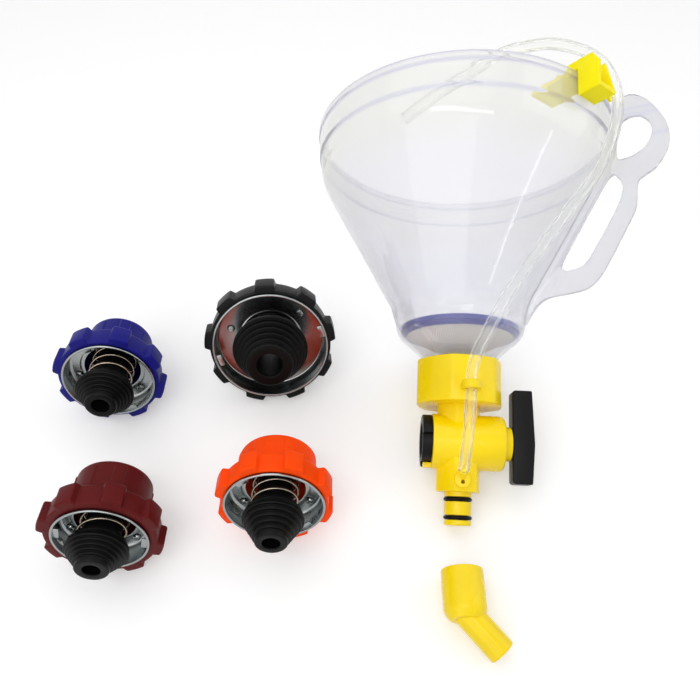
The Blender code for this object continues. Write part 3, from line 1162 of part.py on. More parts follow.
def main():
    mats = {
        "clear": make_material("clear_polypropylene", (0.75, 0.75, 0.80), 0.25, transmission=0.6),
        "yellow": make_material("yellow_plastic", (0.93, 0.64, 0.010), 0.35),
        "clip": make_material("bright_yellow_plastic", (0.99, 0.90, 0.005), 0.35),
        "rubber": make_material("black_rubber", (0.008, 0.008, 0.008), 0.5),
        "hose": make_material("clear_hose", (0.70, 0.72, 0.66), 0.15, transmission=0.7),
        "strainer": make_material("strainer_blue", (0.03, 0.05, 0.35), 0.35),
        "mesh": make_material("strainer_gauze", (0.65, 0.65, 0.65), 0.6),
        "cup": make_material("bright_zinc", (0.68, 0.69, 0.70), 0.18, metallic=1.0),
        "steel": make_material("plated_steel", (0.55, 0.55, 0.56), 0.25, metallic=1.0),
        "spring": make_material("spring_steel", (0.50, 0.46, 0.42), 0.22, metallic=1.0),
    }
    for colour, size in ADAPTERS.items():
        mats[colour] = make_material(colour + "_plastic", size["colour"], 0.4)

    kit = make_empty("kit_frame")
    tilt = max(
        math.atan2(radius - SPIGOT_RADIUS, height - SPIGOT_CHAMFER) for radius, height in outer_wall())
    laid = Matrix.Rotation(-FUNNEL_YAW, 4, "Z") @ Matrix.Rotation(tilt - math.pi / 2, 4, "X")
    funnel_frame = make_empty("funnel_frame", kit, (0, 0, SPIGOT_RADIUS * math.cos(tilt)), laid)
    rotor_axis = make_empty(
        "rotor_axis", funnel_frame, (0, 0, BARREL_HEIGHT), Matrix.Rotation(math.pi / 2, 4, "Y"))

    build_funnel(funnel_frame, mats)
    build_strainer(funnel_frame, mats)
    build_valve_body(funnel_frame, rotor_axis, mats)
    build_rotor(rotor_axis, mats)
    build_knob(rotor_axis, mats)
    build_hose(funnel_frame, mats)
    build_clip(funnel_frame, mats)
    frames = {"elbow": build_elbow(kit, mats)}
    settle(funnel_frame, list(PARTS)[:-1])
    settle(frames["elbow"], ["elbow"])
    for colour, size in ADAPTERS.items():
        frames[colour] = build_adapter(colour, size, kit, mats)
        settle(frames[colour], [name for name in PARTS if name.startswith(colour + "_")])

    low, high = measured_corners(PARTS)
    kit.location = (-(low.x + high.x) / 2, -(low.y + high.y) / 2, 0)
    bpy.context.view_layer.update()
    print("KIT mm", [round(v / MM, 2) for v in high - low])
    report_place("spigot_end", funnel_frame, (0, 0, 0))
    report_place("rotor_axis", rotor_axis, (0, 0, 0))
    report_place("strainer", funnel_frame, (0, 0, STRAINER_RING_TOP))
    report_place("elbow", frames["elbow"], (0, 0, ELBOW_SOCKET_LENGTH))
    for colour in ADAPTERS:
        report_place(colour, frames[colour], (0, 0, 0))


clear_scene()
PART_GROUP = make_collection("coolant_vacuum_filler")
TOOL_GROUP = make_collection("cutters")
main()
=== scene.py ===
import math
import bmesh
import bpy
from mathutils import Matrix, Vector


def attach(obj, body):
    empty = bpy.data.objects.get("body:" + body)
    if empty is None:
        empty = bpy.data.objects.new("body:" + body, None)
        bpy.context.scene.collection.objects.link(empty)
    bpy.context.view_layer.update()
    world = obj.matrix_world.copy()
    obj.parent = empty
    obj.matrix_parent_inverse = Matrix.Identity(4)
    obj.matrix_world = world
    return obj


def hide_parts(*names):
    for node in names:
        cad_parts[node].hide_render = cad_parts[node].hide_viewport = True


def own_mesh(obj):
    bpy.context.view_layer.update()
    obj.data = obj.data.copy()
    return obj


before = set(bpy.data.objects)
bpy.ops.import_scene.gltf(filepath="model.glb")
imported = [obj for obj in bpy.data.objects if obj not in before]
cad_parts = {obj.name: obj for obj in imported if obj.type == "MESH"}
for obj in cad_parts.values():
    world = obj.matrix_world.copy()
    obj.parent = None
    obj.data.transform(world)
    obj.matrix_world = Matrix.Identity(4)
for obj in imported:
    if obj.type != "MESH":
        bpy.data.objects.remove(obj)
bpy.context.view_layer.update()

mm = 0.001
scene = bpy.context.scene
scene.view_settings.view_transform = "Standard"

# camera, standing where the photographer stood
cameraView = {"place": (-0.002573, -0.256152, 0.41912), "tiltDegrees": 34.825, "lens": 36.0, "sensor": 36.0}

camera = bpy.data.objects.new("studioCamera", bpy.data.cameras.new("studioCamera"))
camera.location = cameraView["place"]
camera.rotation_euler = (math.radians(cameraView["tiltDegrees"]), 0, 0)
camera.data.lens = cameraView["lens"]
camera.data.sensor_width = cameraView["sensor"]
camera.data.clip_start = 0.01
scene.collection.objects.link(camera)
scene.camera = camera

# where each item lies: the origin of its own axes in metres, and how they are turned in degrees
layout = {
    "funnel": {"place": (0.062937, -0.100225, 0.007342), "turn": -3.0, "pitch": 21.029 - 90},
    "black": {"place": (-0.054763, 0.007875, 0.043068), "turn": 5.0, "pitch": 90 - 26.299},
    "blue": {"place": (-0.158763, -0.014125, 0.035921), "turn": 2.7, "pitch": 90 - 16.039},
    "maroon": {"place": (-0.142963, -0.119425, 0.035733), "turn": 1.5, "pitch": 90 - 14.839},
    "orange": {"place": (-0.046363, -0.099425, 0.035323), "turn": 0.6, "pitch": 90 - 14.353},
}


def aboutX(degrees):
    return Matrix.Rotation(math.radians(degrees), 4, "X")


def aboutY(degrees):
    return Matrix.Rotation(math.radians(degrees), 4, "Y")


def aboutZ(degrees):
    return Matrix.Rotation(math.radians(degrees), 4, "Z")


def shift(x, y, z):
    return Matrix.Translation((x * mm, y * mm, z * mm))


def itemAxes(name):
    item = layout[name]
    return Matrix.Translation(item["place"]) @ aboutZ(item["turn"]) @ aboutX(item["pitch"])


funnelAxes = itemAxes("funnel")


# modelling helpers; sizes are in millimetres until a shape becomes a piece

def finished(name, shape, axes=Matrix.Identity(4), smoothDegrees=35.0):
    mesh = bpy.data.meshes.new(name)
    bmesh.ops.scale(shape, vec=(mm, mm, mm), verts=shape.verts)
    bmesh.ops.transform(shape, matrix=axes, verts=shape.verts)
    shape.to_mesh(mesh)
    shape.free()
    mesh.shade_smooth()
    mesh.set_sharp_from_angle(angle=math.radians(smoothDegrees))
    piece = bpy.data.objects.new(name, mesh)
    scene.collection.objects.link(piece)
    return piece


def rounded(shape, picked, size, steps, affect="EDGES"):
    bmesh.ops.bevel(shape, geom=picked, offset=size, offset_type="OFFSET", segments=steps, profile=0.5,
                    affect=affect, clamp_overlap=True, material=-1)


def spun(profile, steps, closed=False, roundSteps=4):
    # a profile point is (radius, height) or (radius, height, rounding)
    shape = bmesh.new()
    corners = [shape.verts.new((point[0], 0, point[1])) for point in profile]
    pairs = list(zip(corners, corners[1:] + corners[:1])) if closed else list(zip(corners, corners[1:]))
    for pair in pairs:
        shape.edges.new(pair)
    for size in sorted({point[2] for point in profile if len(point) > 2}):
        picked = [corner for corner, point in zip(corners, profile) if len(point) > 2 and point[2] == size]
        rounded(shape, picked, size, roundSteps, "VERTICES")
    bmesh.ops.spin(shape, geom=shape.verts[:] + shape.edges[:], cent=(0, 0, 0), axis=(0, 0, 1), dvec=(0, 0, 0),
                   angle=math.tau, steps=steps, use_merge=True, use_duplicate=False)
    bmesh.ops.remove_doubles(shape, verts=shape.verts, dist=0.002)
    bmesh.ops.recalc_face_normals(shape, faces=shape.faces)
    return shape


def roundedBox(low, high, rounding=0.0, roundSteps=3):
    shape = bmesh.new()
    bmesh.ops.create_cube(shape, size=1.0)
    size = Vector(high) - Vector(low)
    bmesh.ops.scale(shape, vec=size, verts=shape.verts)
    bmesh.ops.translate(shape, vec=(Vector(high) + Vector(low)) / 2, verts=shape.verts)
    if rounding:
        rounded(shape, shape.edges[:], rounding, roundSteps)
    return shape


def slab(outline, low, high, rounding=0.0, roundSteps=3, edgeDegrees=20.0):
    # a flat outline in local XY, drawn out along local Z
    shape = bmesh.new()
    face = shape.faces.new([shape.verts.new((x, y, low)) for x, y in outline])
    grown = bmesh.ops.extrude_face_region(shape, geom=[face])
    tops = [item for item in grown["geom"] if isinstance(item, bmesh.types.BMVert)]
    bmesh.ops.translate(shape, vec=(0, 0, high - low), verts=tops)
    bmesh.ops.recalc_face_normals(shape, faces=shape.faces)
    if rounding:
        shape.normal_update()
        edges = [edge for edge in shape.edges if edge.calc_face_angle(0) > math.radians(edgeDegrees)]
        rounded(shape, edges, rounding, roundSteps)
    return shape


def moved(shape, axes):
    # turns and shifts a shape; the shift in axes is in metres
    local = axes.copy()
    local.translation = axes.translation / mm
    bmesh.ops.transform(shape, matrix=local, verts=shape.verts)
    return shape


def boolean(piece, shapes, operation, smoothDegrees=35.0):
    tools = []
    for shape in shapes:
        tool = finished("tool", shape)
        modifier = piece.modifiers.new("tool", "BOOLEAN")
        modifier.operation = operation
        modifier.object = tool
        tools.append(tool)
    graph = bpy.context.evaluated_depsgraph_get()
    piece.data = bpy.data.meshes.new_from_object(piece.evaluated_get(graph))
    piece.modifiers.clear()
    for tool in tools:
        bpy.data.objects.remove(tool)
    piece.data.shade_smooth()
    piece.data.set_sharp_from_angle(angle=math.radians(smoothDegrees))
    return piece


def placed(piece, axes):
    piece.data.transform(axes)
    return piece


def smoothLine(points, step):
    # points about a step apart on a smooth line through the given ones
    ends = [points[0] * 2 - points[1]] + list(points) + [points[-1] * 2 - points[-2]]
    line = []
    for before, start, end, after in zip(ends, ends[1:], ends[2:], ends[3:]):
        count = max(1, round((end - start).length / step))
        for index in range(count):
            t = index / count
            line.append(0.5 * (2 * start + (end - before) * t + (2 * before - 5 * start + 4 * end - after) * t ** 2
                               + (3 * start - before - 3 * end + after) * t ** 3))
    return line + [points[-1]]


def drawLine(curve, points, closed=False):
    spline = curve.splines.new("POLY")
    spline.points.add(len(points) - 1)
    spline.use_cyclic_u = closed
    for point, place in zip(spline.points, points):
        point.co = (*place, 1)


def drawnShape(curve):
    # what a curve draws, with its seams merged
    drawing = bpy.data.objects.new(curve.name, curve)
    scene.collection.objects.link(drawing)
    graph = bpy.context.evaluated_depsgraph_get()
    mesh = bpy.data.meshes.new_from_object(drawing.evaluated_get(graph))
    bpy.data.objects.remove(drawing)
    shape = bmesh.new()
    shape.from_mesh(mesh)
    bpy.data.meshes.remove(mesh)
    bmesh.ops.remove_doubles(shape, verts=shape.verts, dist=0.001)
    return shape


def sweptLoops(line, radius, sides, name):
    # a curve's own tube, without end caps
    curve = bpy.data.curves.new(name, "CURVE")
    curve.dimensions = "3D"
    curve.bevel_depth = radius
    curve.bevel_resolution = sides // 2 - 2
    drawLine(curve, line)
    return drawnShape(curve)


def capped(shape):
    bmesh.ops.holes_fill(shape, edges=[edge for edge in shape.edges if edge.is_boundary], sides=0)
    bmesh.ops.recalc_face_normals(shape, faces=shape.faces)
    return shape


# material helpers

def tint(red, green, blue):
    # a colour as a paint program gives it, made linear
    return (*[(part / 255 / 12.92) if part < 11 else ((part / 255 + 0.055) / 1.055) ** 2.4
              for part in (red, green, blue)], 1.0)


def addNode(tree, kind, links=(), **settings):
    node = tree.nodes.new(kind)
    for key, value in settings.items():
        setattr(node, key, value)
    for socket, source in dict(links).items():
        if isinstance(source, bpy.types.NodeSocket):
            tree.links.new(source, node.inputs[socket])
        else:
            node.inputs[socket].default_value = source
    return node


def mixColours(tree, factor, first, second, blend="MIX"):
    # the colour sockets of a Mix node are its inputs 6 and 7 and its output 2
    return addNode(tree, "ShaderNodeMix", {0: factor, 6: first, 7: second},
                   data_type="RGBA", blend_type=blend).outputs[2]


def newGroup(name, inputs, outputs):
    group = bpy.data.node_groups.new(name, "ShaderNodeTree")
    for label, kind, value in inputs:
        group.interface.new_socket(label, in_out="INPUT", socket_type="NodeSocket" + kind).default_value = value
    for label, kind in outputs:
        group.interface.new_socket(label, in_out="OUTPUT", socket_type="NodeSocket" + kind)
    return group, group.nodes.new("NodeGroupInput"), group.nodes.new("NodeGroupOutput")


def giveOut(group, result, **sources):
    for label, source in sources.items():
        group.links.new(source, result.inputs[label])
    return group


def mouldedGrain():
    # fine surface grain, a slow drift of shade and a slow drift of gloss
    group, given, result = newGroup(
        "mouldedGrain",
        [("Colour", "Color", (0.5, 0.5, 0.5, 1)), ("Shade Drift", "Float", 0.06), ("Roughness", "Float", 0.35),
         ("Gloss Drift", "Float", 0.08), ("Grain Scale", "Float", 1500.0), ("Grain Depth", "Float", 0.15)],
        [("Colour", "Color"), ("Roughness", "Float"), ("Normal", "Vector")])
    place = addNode(group, "ShaderNodeTexCoord").outputs["Object"]
    slow = addNode(group, "ShaderNodeTexNoise", {"Vector": place, "Scale": 42.0, "Detail": 3.0}).outputs["Fac"]
    fine = addNode(group, "ShaderNodeTexNoise", {
        "Vector": place, "Scale": given.outputs["Grain Scale"], "Detail": 2.0}).outputs["Fac"]
    dark = addNode(group, "ShaderNodeMath", {0: 1.0, 1: given.outputs["Shade Drift"]}, operation="SUBTRACT")
    bright = addNode(group, "ShaderNodeMath", {0: 1.0, 1: given.outputs["Shade Drift"]}, operation="ADD")
    level = addNode(group, "ShaderNodeMapRange", {
        "Value": slow, "From Min": 0.3, "From Max": 0.7, "To Min": dark.outputs[0], "To Max": bright.outputs[0]})
    shade = addNode(group, "ShaderNodeVectorMath", {0: given.outputs["Colour"], 3: level.outputs["Result"]},
                    operation="SCALE")
    drift = addNode(group, "ShaderNodeMath", {0: slow, 1: 0.5}, operation="SUBTRACT")
    gloss = addNode(group, "ShaderNodeMath", {
        0: drift.outputs[0], 1: given.outputs["Gloss Drift"], 2: given.outputs["Roughness"]},
        operation="MULTIPLY_ADD")
    bump = addNode(group, "ShaderNodeBump", {
        "Height": fine, "Strength": given.outputs["Grain Depth"], "Distance": 0.0002})
    return giveOut(group, result, Colour=shade.outputs["Vector"], Roughness=gloss.outputs[0],
                   Normal=bump.outputs["Normal"])


def platedSheet():
    # bright plating: cloudy gloss, fine drawing marks and a slight drift from cool to warm
    group, given, result = newGroup(
        "platedSheet",
        [("Cool", "Color", (0.6, 0.6, 0.6, 1)), ("Warm", "Color", (0.6, 0.6, 0.6, 1)), ("Roughness", "Float", 0.2),
         ("Cloud Scale", "Float", 70.0), ("Mark Depth", "Float", 0.1)],
        [("Colour", "Color"), ("Roughness", "Float"), ("Normal", "Vector")])
    place = addNode(group, "ShaderNodeTexCoord").outputs["Object"]
    cloud = addNode(group, "ShaderNodeTexNoise", {
        "Vector": place, "Scale": given.outputs["Cloud Scale"], "Detail": 4.0}).outputs["Fac"]
    marks = addNode(group, "ShaderNodeTexNoise", {"Vector": place, "Scale": 900.0, "Detail": 2.0}).outputs["Fac"]
    drift = mixColours(group, cloud, given.outputs["Cool"], given.outputs["Warm"])
    gloss = addNode(group, "ShaderNodeMath", {0: cloud, 1: 0.16, 2: given.outputs["Roughness"]},
                    operation="MULTIPLY_ADD")
    bump = addNode(group, "ShaderNodeBump", {
        "Height": marks, "Strength": given.outputs["Mark Depth"], "Distance": 0.0001})
    return giveOut(group, result, Colour=drift, Roughness=gloss.outputs[0], Normal=bump.outputs["Normal"])


grainGroup = mouldedGrain()
platedGroup = platedSheet()


def newMaterial(name, group=None, given=(), **values):
    material = bpy.data.materials.new(name)
    material.use_nodes = True
    tree = material.node_tree
    shader = tree.nodes["Principled BSDF"]
    for key, value in values.items():
        shader.inputs[key.replace("_", " ")].default_value = value
    if group:
        effect = addNode(tree, "ShaderNodeGroup", node_tree=group)
        for key, value in dict(given).items():
            effect.inputs[key].default_value = value
        tree.links.new(effect.outputs["Colour"], shader.inputs["Base Color"])
        tree.links.new(effect.outputs["Roughness"], shader.inputs["Roughness"])
        tree.links.new(effect.outputs["Normal"], shader.inputs["Normal"])
    return material


def dress(piece, material, slot, body, *nodes):
    piece.data.materials.clear()
    piece.data.materials.append(material)
    if nodes:
        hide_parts(*nodes)
    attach(piece, body)
    return piece


plasticColours = {
    "yellow": {"colour": tint(250, 218, 4), "roughness": 0.27, "specular": 0.32},
    "clipYellow": {"colour": tint(255, 240, 0), "roughness": 0.36, "specular": 0.2},
    "black": {"colour": tint(13, 13, 14), "roughness": 0.36, "specular": 0.14},
    "blue": {"colour": tint(20, 20, 120), "roughness": 0.38, "specular": 0.14},
    "maroon": {"colour": tint(90, 14, 15), "roughness": 0.42, "specular": 0.12},
    "orange": {"colour": tint(255, 74, 0), "roughness": 0.40, "specular": 0.1},
    "strainerBlue": {"colour": tint(44, 50, 138), "roughness": 0.30, "specular": 0.4},
}
plastics = {
    name: newMaterial(name + "Plastic", grainGroup, {
        "Colour": look["colour"], "Roughness": look["roughness"], "Shade Drift": 0.05, "Grain Depth": 0.12},
        Specular_IOR_Level=look["specular"])
    for name, look in plasticColours.items()
}
rubber = newMaterial("blackRubber", grainGroup, {
    "Colour": tint(5, 5, 5), "Roughness": 0.38, "Shade Drift": 0.18, "Gloss Drift": 0.2,
    "Grain Scale": 1900.0, "Grain Depth": 0.22}, Specular_IOR_Level=0.12)
zinc = newMaterial("brightZinc", platedGroup, {
    "Cool": tint(140, 150, 156), "Warm": tint(166, 165, 160), "Roughness": 0.12}, Metallic=1.0)
springSteel = newMaterial("springSteel", platedGroup, {
    "Cool": tint(150, 142, 130), "Warm": tint(180, 162, 140), "Roughness": 0.14}, Metallic=1.0)


def clearShadow(material, shadow):
    # light from the lamps passes through, so that clear plastic leaves only a faint shadow
    tree = material.node_tree
    lampRay = addNode(tree, "ShaderNodeLightPath").outputs["Is Shadow Ray"]
    through = addNode(tree, "ShaderNodeBsdfTransparent", {"Color": shadow})
    shown = addNode(tree, "ShaderNodeMixShader", {
        0: lampRay, 1: tree.nodes["Principled BSDF"].outputs["BSDF"], 2: through.outputs["BSDF"]})
    tree.links.new(shown.outputs["Shader"], tree.nodes["Material Output"].inputs["Surface"])
    return material


# where the wall's look changes, in millimetres: heights, and the cone as radius = slope * height + start
haze = {
    "patchScale": 0.03, "patchShift": 26.0, "rimBand": (220.0, 240.0), "coneSlope": 0.5714, "coneStart": -31.0,
    # the ring entries set painted shade: darker lines at the rim and ring steps, standing in for how the steps
    # shade the clear wall
    "widest": 100.2, "handleBlend": 3.0, "neckBand": (125.0, 137.0), "ringShadeDepth": 0.9,
    "rings": [(259.6, 1.2), (255.2, 1.4), (240.0, 1.5)],  # middle and half width
}


def hazyWall():
    # milky plastic: warmer by the rim, lavender below, deeper in the handle, with painted shade lines at the rim
    # and ring steps, thinner at the neck
    group, given, result = newGroup(
        "hazyWall",
        [*[(part, "Color", (0.8, 0.8, 0.8, 1)) for part in ("Warm", "Cool", "Handle", "RingShade")],
         ("Neck Cover", "Float", 0.4)],
        [("Colour", "Color"), ("Cover", "Float")])
    place = addNode(group, "ShaderNodeTexCoord").outputs["Object"]
    local = addNode(group, "ShaderNodeMapping", {
        "Vector": place, "Location": funnelAxes.translation, "Rotation": funnelAxes.to_euler(),
        "Scale": (mm, mm, mm)}, vector_type="TEXTURE").outputs["Vector"]
    split = addNode(group, "ShaderNodeSeparateXYZ", {0: local})
    height = split.outputs["Z"]
    flat = addNode(group, "ShaderNodeVectorMath", {0: local, 1: (1, 1, 0)}, operation="MULTIPLY").outputs["Vector"]
    radius = addNode(group, "ShaderNodeVectorMath", {0: flat}, operation="LENGTH").outputs["Value"]
    cloud = addNode(group, "ShaderNodeTexNoise", {
        "Vector": local, "Scale": haze["patchScale"], "Detail": 3.0}).outputs["Fac"]
    drifted = addNode(group, "ShaderNodeMath", {0: cloud, 1: haze["patchShift"], 2: height},
                      operation="MULTIPLY_ADD").outputs[0]
    nearRim = addNode(group, "ShaderNodeMapRange", {
        "Value": drifted, "From Min": haze["rimBand"][0], "From Max": haze["rimBand"][1]})
    colour = mixColours(group, nearRim.outputs["Result"], given.outputs["Cool"], given.outputs["Warm"])
    wall = addNode(group, "ShaderNodeMath", {0: height, 1: haze["coneSlope"], 2: haze["coneStart"]},
                   operation="MULTIPLY_ADD").outputs[0]
    limit = addNode(group, "ShaderNodeMath", {0: wall, 1: haze["widest"]}, operation="MINIMUM").outputs[0]
    beyond = addNode(group, "ShaderNodeMath", {0: radius, 1: limit}, operation="SUBTRACT").outputs[0]
    onHandle = addNode(group, "ShaderNodeMapRange", {"Value": beyond, "From Max": haze["handleBlend"]})
    colour = mixColours(group, onHandle.outputs["Result"], colour, given.outputs["Handle"])
    # painted shade: a darker line at each rim and ring step
    for middle, halfWidth in haze["rings"]:
        away = addNode(group, "ShaderNodeMath", {0: height, 1: middle}, operation="SUBTRACT").outputs[0]
        away = addNode(group, "ShaderNodeMath", {0: away}, operation="ABSOLUTE").outputs[0]
        onShadedRing = addNode(group, "ShaderNodeMapRange", {
            "Value": away, "From Min": halfWidth, "From Max": 0.0, "To Max": haze["ringShadeDepth"]})
        colour = mixColours(group, onShadedRing.outputs["Result"], colour, given.outputs["RingShade"])
    cover = addNode(group, "ShaderNodeMapRange", {
        "Value": height, "From Min": haze["neckBand"][0], "From Max": haze["neckBand"][1],
        "To Min": given.outputs["Neck Cover"]})
    return giveOut(group, result, Colour=colour, Cover=cover.outputs["Result"])


funnelPlastic = newMaterial("clearPolypropylene", Roughness=0.07, IOR=1.35, Transmission_Weight=0.78)
tree = funnelPlastic.node_tree
# the ring colour is the painted shade of the lines at the rim and ring steps
wallLook = addNode(tree, "ShaderNodeGroup", {
    "Warm": (0.83, 0.83, 0.81, 1), "Cool": (0.84, 0.84, 0.868, 1), "Handle": (0.73, 0.73, 0.76, 1),
    "RingShade": (0.62, 0.62, 0.78, 1), "Neck Cover": 0.38}, node_tree=hazyWall())
tree.links.new(wallLook.outputs["Colour"], tree.nodes["Principled BSDF"].inputs["Base Color"])
tree.links.new(wallLook.outputs["Cover"], tree.nodes["Principled BSDF"].inputs["Alpha"])
clearShadow(funnelPlastic, (0.95, 0.95, 0.97, 1))

# the hose is clear: its colour and its cover deepen only where its wall is seen along its surface
hoseLook = {"middle": (0.96, 0.965, 0.95, 1), "edge": (0.72, 0.73, 0.69, 1), "shadow": (0.92, 0.93, 0.91, 1),
            "cover": 0.38, "coverFrom": 0.12, "coverTo": 0.6}
hosePlastic = newMaterial("clearVinyl", Roughness=0.03, IOR=1.33, Transmission_Weight=0.94)
tree = hosePlastic.node_tree
facing = addNode(tree, "ShaderNodeLayerWeight", {"Blend": 0.3}).outputs["Facing"]
place = addNode(tree, "ShaderNodeTexCoord").outputs["Object"]
cloud = addNode(tree, "ShaderNodeTexNoise", {"Vector": place, "Scale": 30.0, "Detail": 3.0}).outputs["Fac"]
level = addNode(tree, "ShaderNodeMapRange", {
    "Value": cloud, "From Min": 0.3, "From Max": 0.7, "To Min": 0.985, "To Max": 1.0}).outputs["Result"]
deepened = mixColours(tree, facing, hoseLook["middle"], hoseLook["edge"])
colour = addNode(tree, "ShaderNodeVectorMath", {0: deepened, 3: level}, operation="SCALE")
tree.links.new(colour.outputs["Vector"], tree.nodes["Principled BSDF"].inputs["Base Color"])
cover = addNode(tree, "ShaderNodeMapRange", {
    "Value": facing, "From Min": hoseLook["coverFrom"], "From Max": hoseLook["coverTo"],
    "To Min": hoseLook["cover"]}).outputs["Result"]
tree.links.new(cover, tree.nodes["Principled BSDF"].inputs["Alpha"])
clearShadow(hosePlastic, hoseLook["shadow"])


def gauzeMaterial(pitch, wire):
    # woven threads along two directions across the strainer, with clear holes between
    material = newMaterial("wovenGauze", Base_Color=tint(206, 200, 194), Roughness=0.55)
    tree = material.node_tree
    place = addNode(tree, "ShaderNodeTexCoord").outputs["Object"]
    across = addNode(tree, "ShaderNodeMapping", {
        "Vector": place, "Location": funnelAxes.translation, "Rotation": funnelAxes.to_euler(),
        "Scale": (pitch, pitch, pitch)}, vector_type="TEXTURE").outputs["Vector"]
    split = addNode(tree, "ShaderNodeSeparateXYZ", {0: across})
    threads = []
    for axis in ("X", "Y"):
        cycle = addNode(tree, "ShaderNodeMath", {0: split.outputs[axis]}, operation="FRACT").outputs[0]
        threads.append(addNode(tree, "ShaderNodeMath", {0: cycle, 1: wire}, operation="LESS_THAN").outputs[0])
    woven = addNode(tree, "ShaderNodeMath", {0: threads[0], 1: threads[1]}, operation="MAXIMUM").outputs[0]
    tree.links.new(woven, tree.nodes["Principled BSDF"].inputs["Alpha"])
    return material


gauze = gauzeMaterial(1.4 * mm, 0.42)
print("materials made:", len(bpy.data.materials))

# vent hose: from the nipple on the valve, through the eyelet and the clip, over the rim and into the bowl
hose = {
    "radius": 3.6, "bore": 2.3, "sides": 64, "step": 0.9,
    "route": [
        (1.1, -18.0, 32.8), (1.15, -21.6, 36.5), (1.3, -26.6, 42.6), (1.8, -30.3, 50.4), (2.4, -31.8, 60.0),
        (3.1, -31.8, 74.0), (3.2, -31.8, 81.7), (3.9, -31.9, 91.0), (6.6, -33.5, 101.8), (10.6, -38.9, 111.2),
        (16.2, -44.7, 122.8), (22.6, -46.6, 135.0), (32.5, -48.8, 150.0), (43.6, -51.6, 166.5),
        (59.0, -55.2, 188.5), (71.6, -58.2, 206.0), (80.0, -62.2, 225.5), (83.6, -64.2, 240.0),
        (84.9, -64.6, 251.5), (84.3, -64.6, 261.0), (81.5, -66.4, 267.5), (75.8, -70.6, 272.9),
        (67.3, -73.9, 277.5), (57.6, -76.2, 279.9), (42.4, -78.4, 280.7), (27.4, -79.4, 277.6),
        (12.2, -81.0, 271.0), (-6.6, -82.2, 255.4), (-23.9, -83.4, 242.0), (-43.4, -77.6, 228.0),
    ],
}
hoseLine = smoothLine([Vector(point) for point in hose["route"]], hose["step"])
hoseShape = sweptLoops(hoseLine, hose["radius"], hose["sides"], "hoseOutside")
boreShape = sweptLoops(hoseLine, hose["bore"], hose["sides"], "hoseBore")
bmesh.ops.reverse_faces(boreShape, faces=boreShape.faces)
boreMesh = bpy.data.meshes.new("hoseBore")
boreShape.to_mesh(boreMesh)
boreShape.free()
hoseShape.from_mesh(boreMesh)
for end, far in ((hoseLine[0], hoseLine[-1]), (hoseLine[-1], hoseLine[0])):
    bmesh.ops.bridge_loops(hoseShape, edges=[
        edge for edge in hoseShape.edges
        if edge.is_boundary and (edge.verts[0].co - end).length < (edge.verts[0].co - far).length])
clearHose = finished("clearHose", hoseShape, funnelAxes, 60.0)
dress(clearHose, hosePlastic, "clear_hose", "funnel_assembly", "hose")

# funnel: one clear wall from rim to neck, with its handle plate
funnel = {
    "steps": 160, "lean": 25.0, "handleThickness": 3.4, "handleRounding": 1.0,
    "reach": 131.0, "foot": 137.0, "top": 270.0,
    "outside": [
        (99.8, 260.0, 1.2), (99.6, 255.6, 0.7), (98.7, 254.8, 0.7), (98.2, 240.6, 0.9), (97.0, 239.2, 0.9),
        (95.8, 229.0, 1.5), (93.6, 223.0, 2.5),
        (45.6, 139.0, 1.5), (42.2, 128.0, 1.0), (40.4, 119.0, 4.0), (29.0, 109.0, 3.2), (24.2, 104.0, 0.8),
        (24.2, 103.4), (25.4, 103.2, 0.3), (25.4, 102.0, 0.3), (24.2, 101.8), (24.2, 76.4),
    ],
    "inside": [
        (22.2, 76.4), (22.2, 105.0, 1.0), (28.0, 111.0, 2.4), (38.4, 120.0, 2.4), (40.2, 128.0, 1.0),
        (43.6, 140.0, 1.5), (91.6, 224.0, 2.5), (93.8, 229.0, 1.5), (96.3, 252.0, 1.0), (97.2, 254.0, 1.0),
        (97.4, 260.0, 0.9),
    ],
    "outline": [
        (0.785, 0.940), (0.800, 0.985), (0.838, 0.999), (0.875, 0.985), (0.912, 0.955), (0.960, 0.885),
        (0.990, 0.820), (1.000, 0.765), (0.994, 0.700), (0.965, 0.640), (0.925, 0.592), (0.870, 0.560),
        (0.853, 0.530), (0.848, 0.460), (0.838, 0.405), (0.780, 0.290), (0.705, 0.150), (0.660, 0.085),
        (0.610, 0.048), (0.540, 0.034), (0.460, 0.026), (0.410, 0.008), (0.376, -0.026), (0.352, -0.062),
        (0.332, -0.098),
    ],
    "root": [(39.6, 124.0), (41.2, 128.0), (44.6, 139.0), (94.8, 229.0), (97.6, 259.0)],
    "loopHole": [
        (0.795, 0.850), (0.815, 0.873), (0.850, 0.882), (0.885, 0.872), (0.915, 0.840), (0.926, 0.800),
        (0.918, 0.755), (0.890, 0.712), (0.840, 0.680), (0.780, 0.668), (0.768, 0.690), (0.772, 0.760),
    ],
    "slotHole": [
        (0.752, 0.598), (0.773, 0.572), (0.786, 0.540), (0.783, 0.500), (0.768, 0.455), (0.730, 0.375),
        (0.650, 0.235), (0.615, 0.180), (0.580, 0.155), (0.520, 0.145), (0.503, 0.160), (0.506, 0.188),
        (0.560, 0.290), (0.700, 0.538), (0.738, 0.590),
    ],
}


def onHandle(shares):
    height = funnel["top"] - funnel["foot"]
    return [Vector((across * funnel["reach"], funnel["foot"] + up * height, 0)) for across, up in shares]


def roundedLoop(points, step):
    # a closed smooth line: the ends are overlapped and the overlap is cut away
    looped = points[-2:] + points + points[:2]
    line = smoothLine(looped, step)
    first = min(range(len(line)), key=lambda index: (line[index] - points[0]).length)
    last = max(index for index, place in enumerate(line) if (place - points[0]).length < 1e-6)
    return line[first:last]


def flatPlate(outlines, thickness, rounding):
    # closed outlines in local XY, the first outside and the rest holes, as a plate with rounded edges
    curve = bpy.data.curves.new("plate", "CURVE")
    curve.dimensions = "2D"
    curve.fill_mode = "BOTH"
    curve.extrude = thickness / 2 - rounding
    curve.bevel_depth = rounding
    curve.bevel_resolution = 2
    curve.offset = -rounding
    for outline in outlines:
        drawLine(curve, outline, closed=True)
    shape = drawnShape(curve)
    bmesh.ops.recalc_face_normals(shape, faces=shape.faces)
    return shape


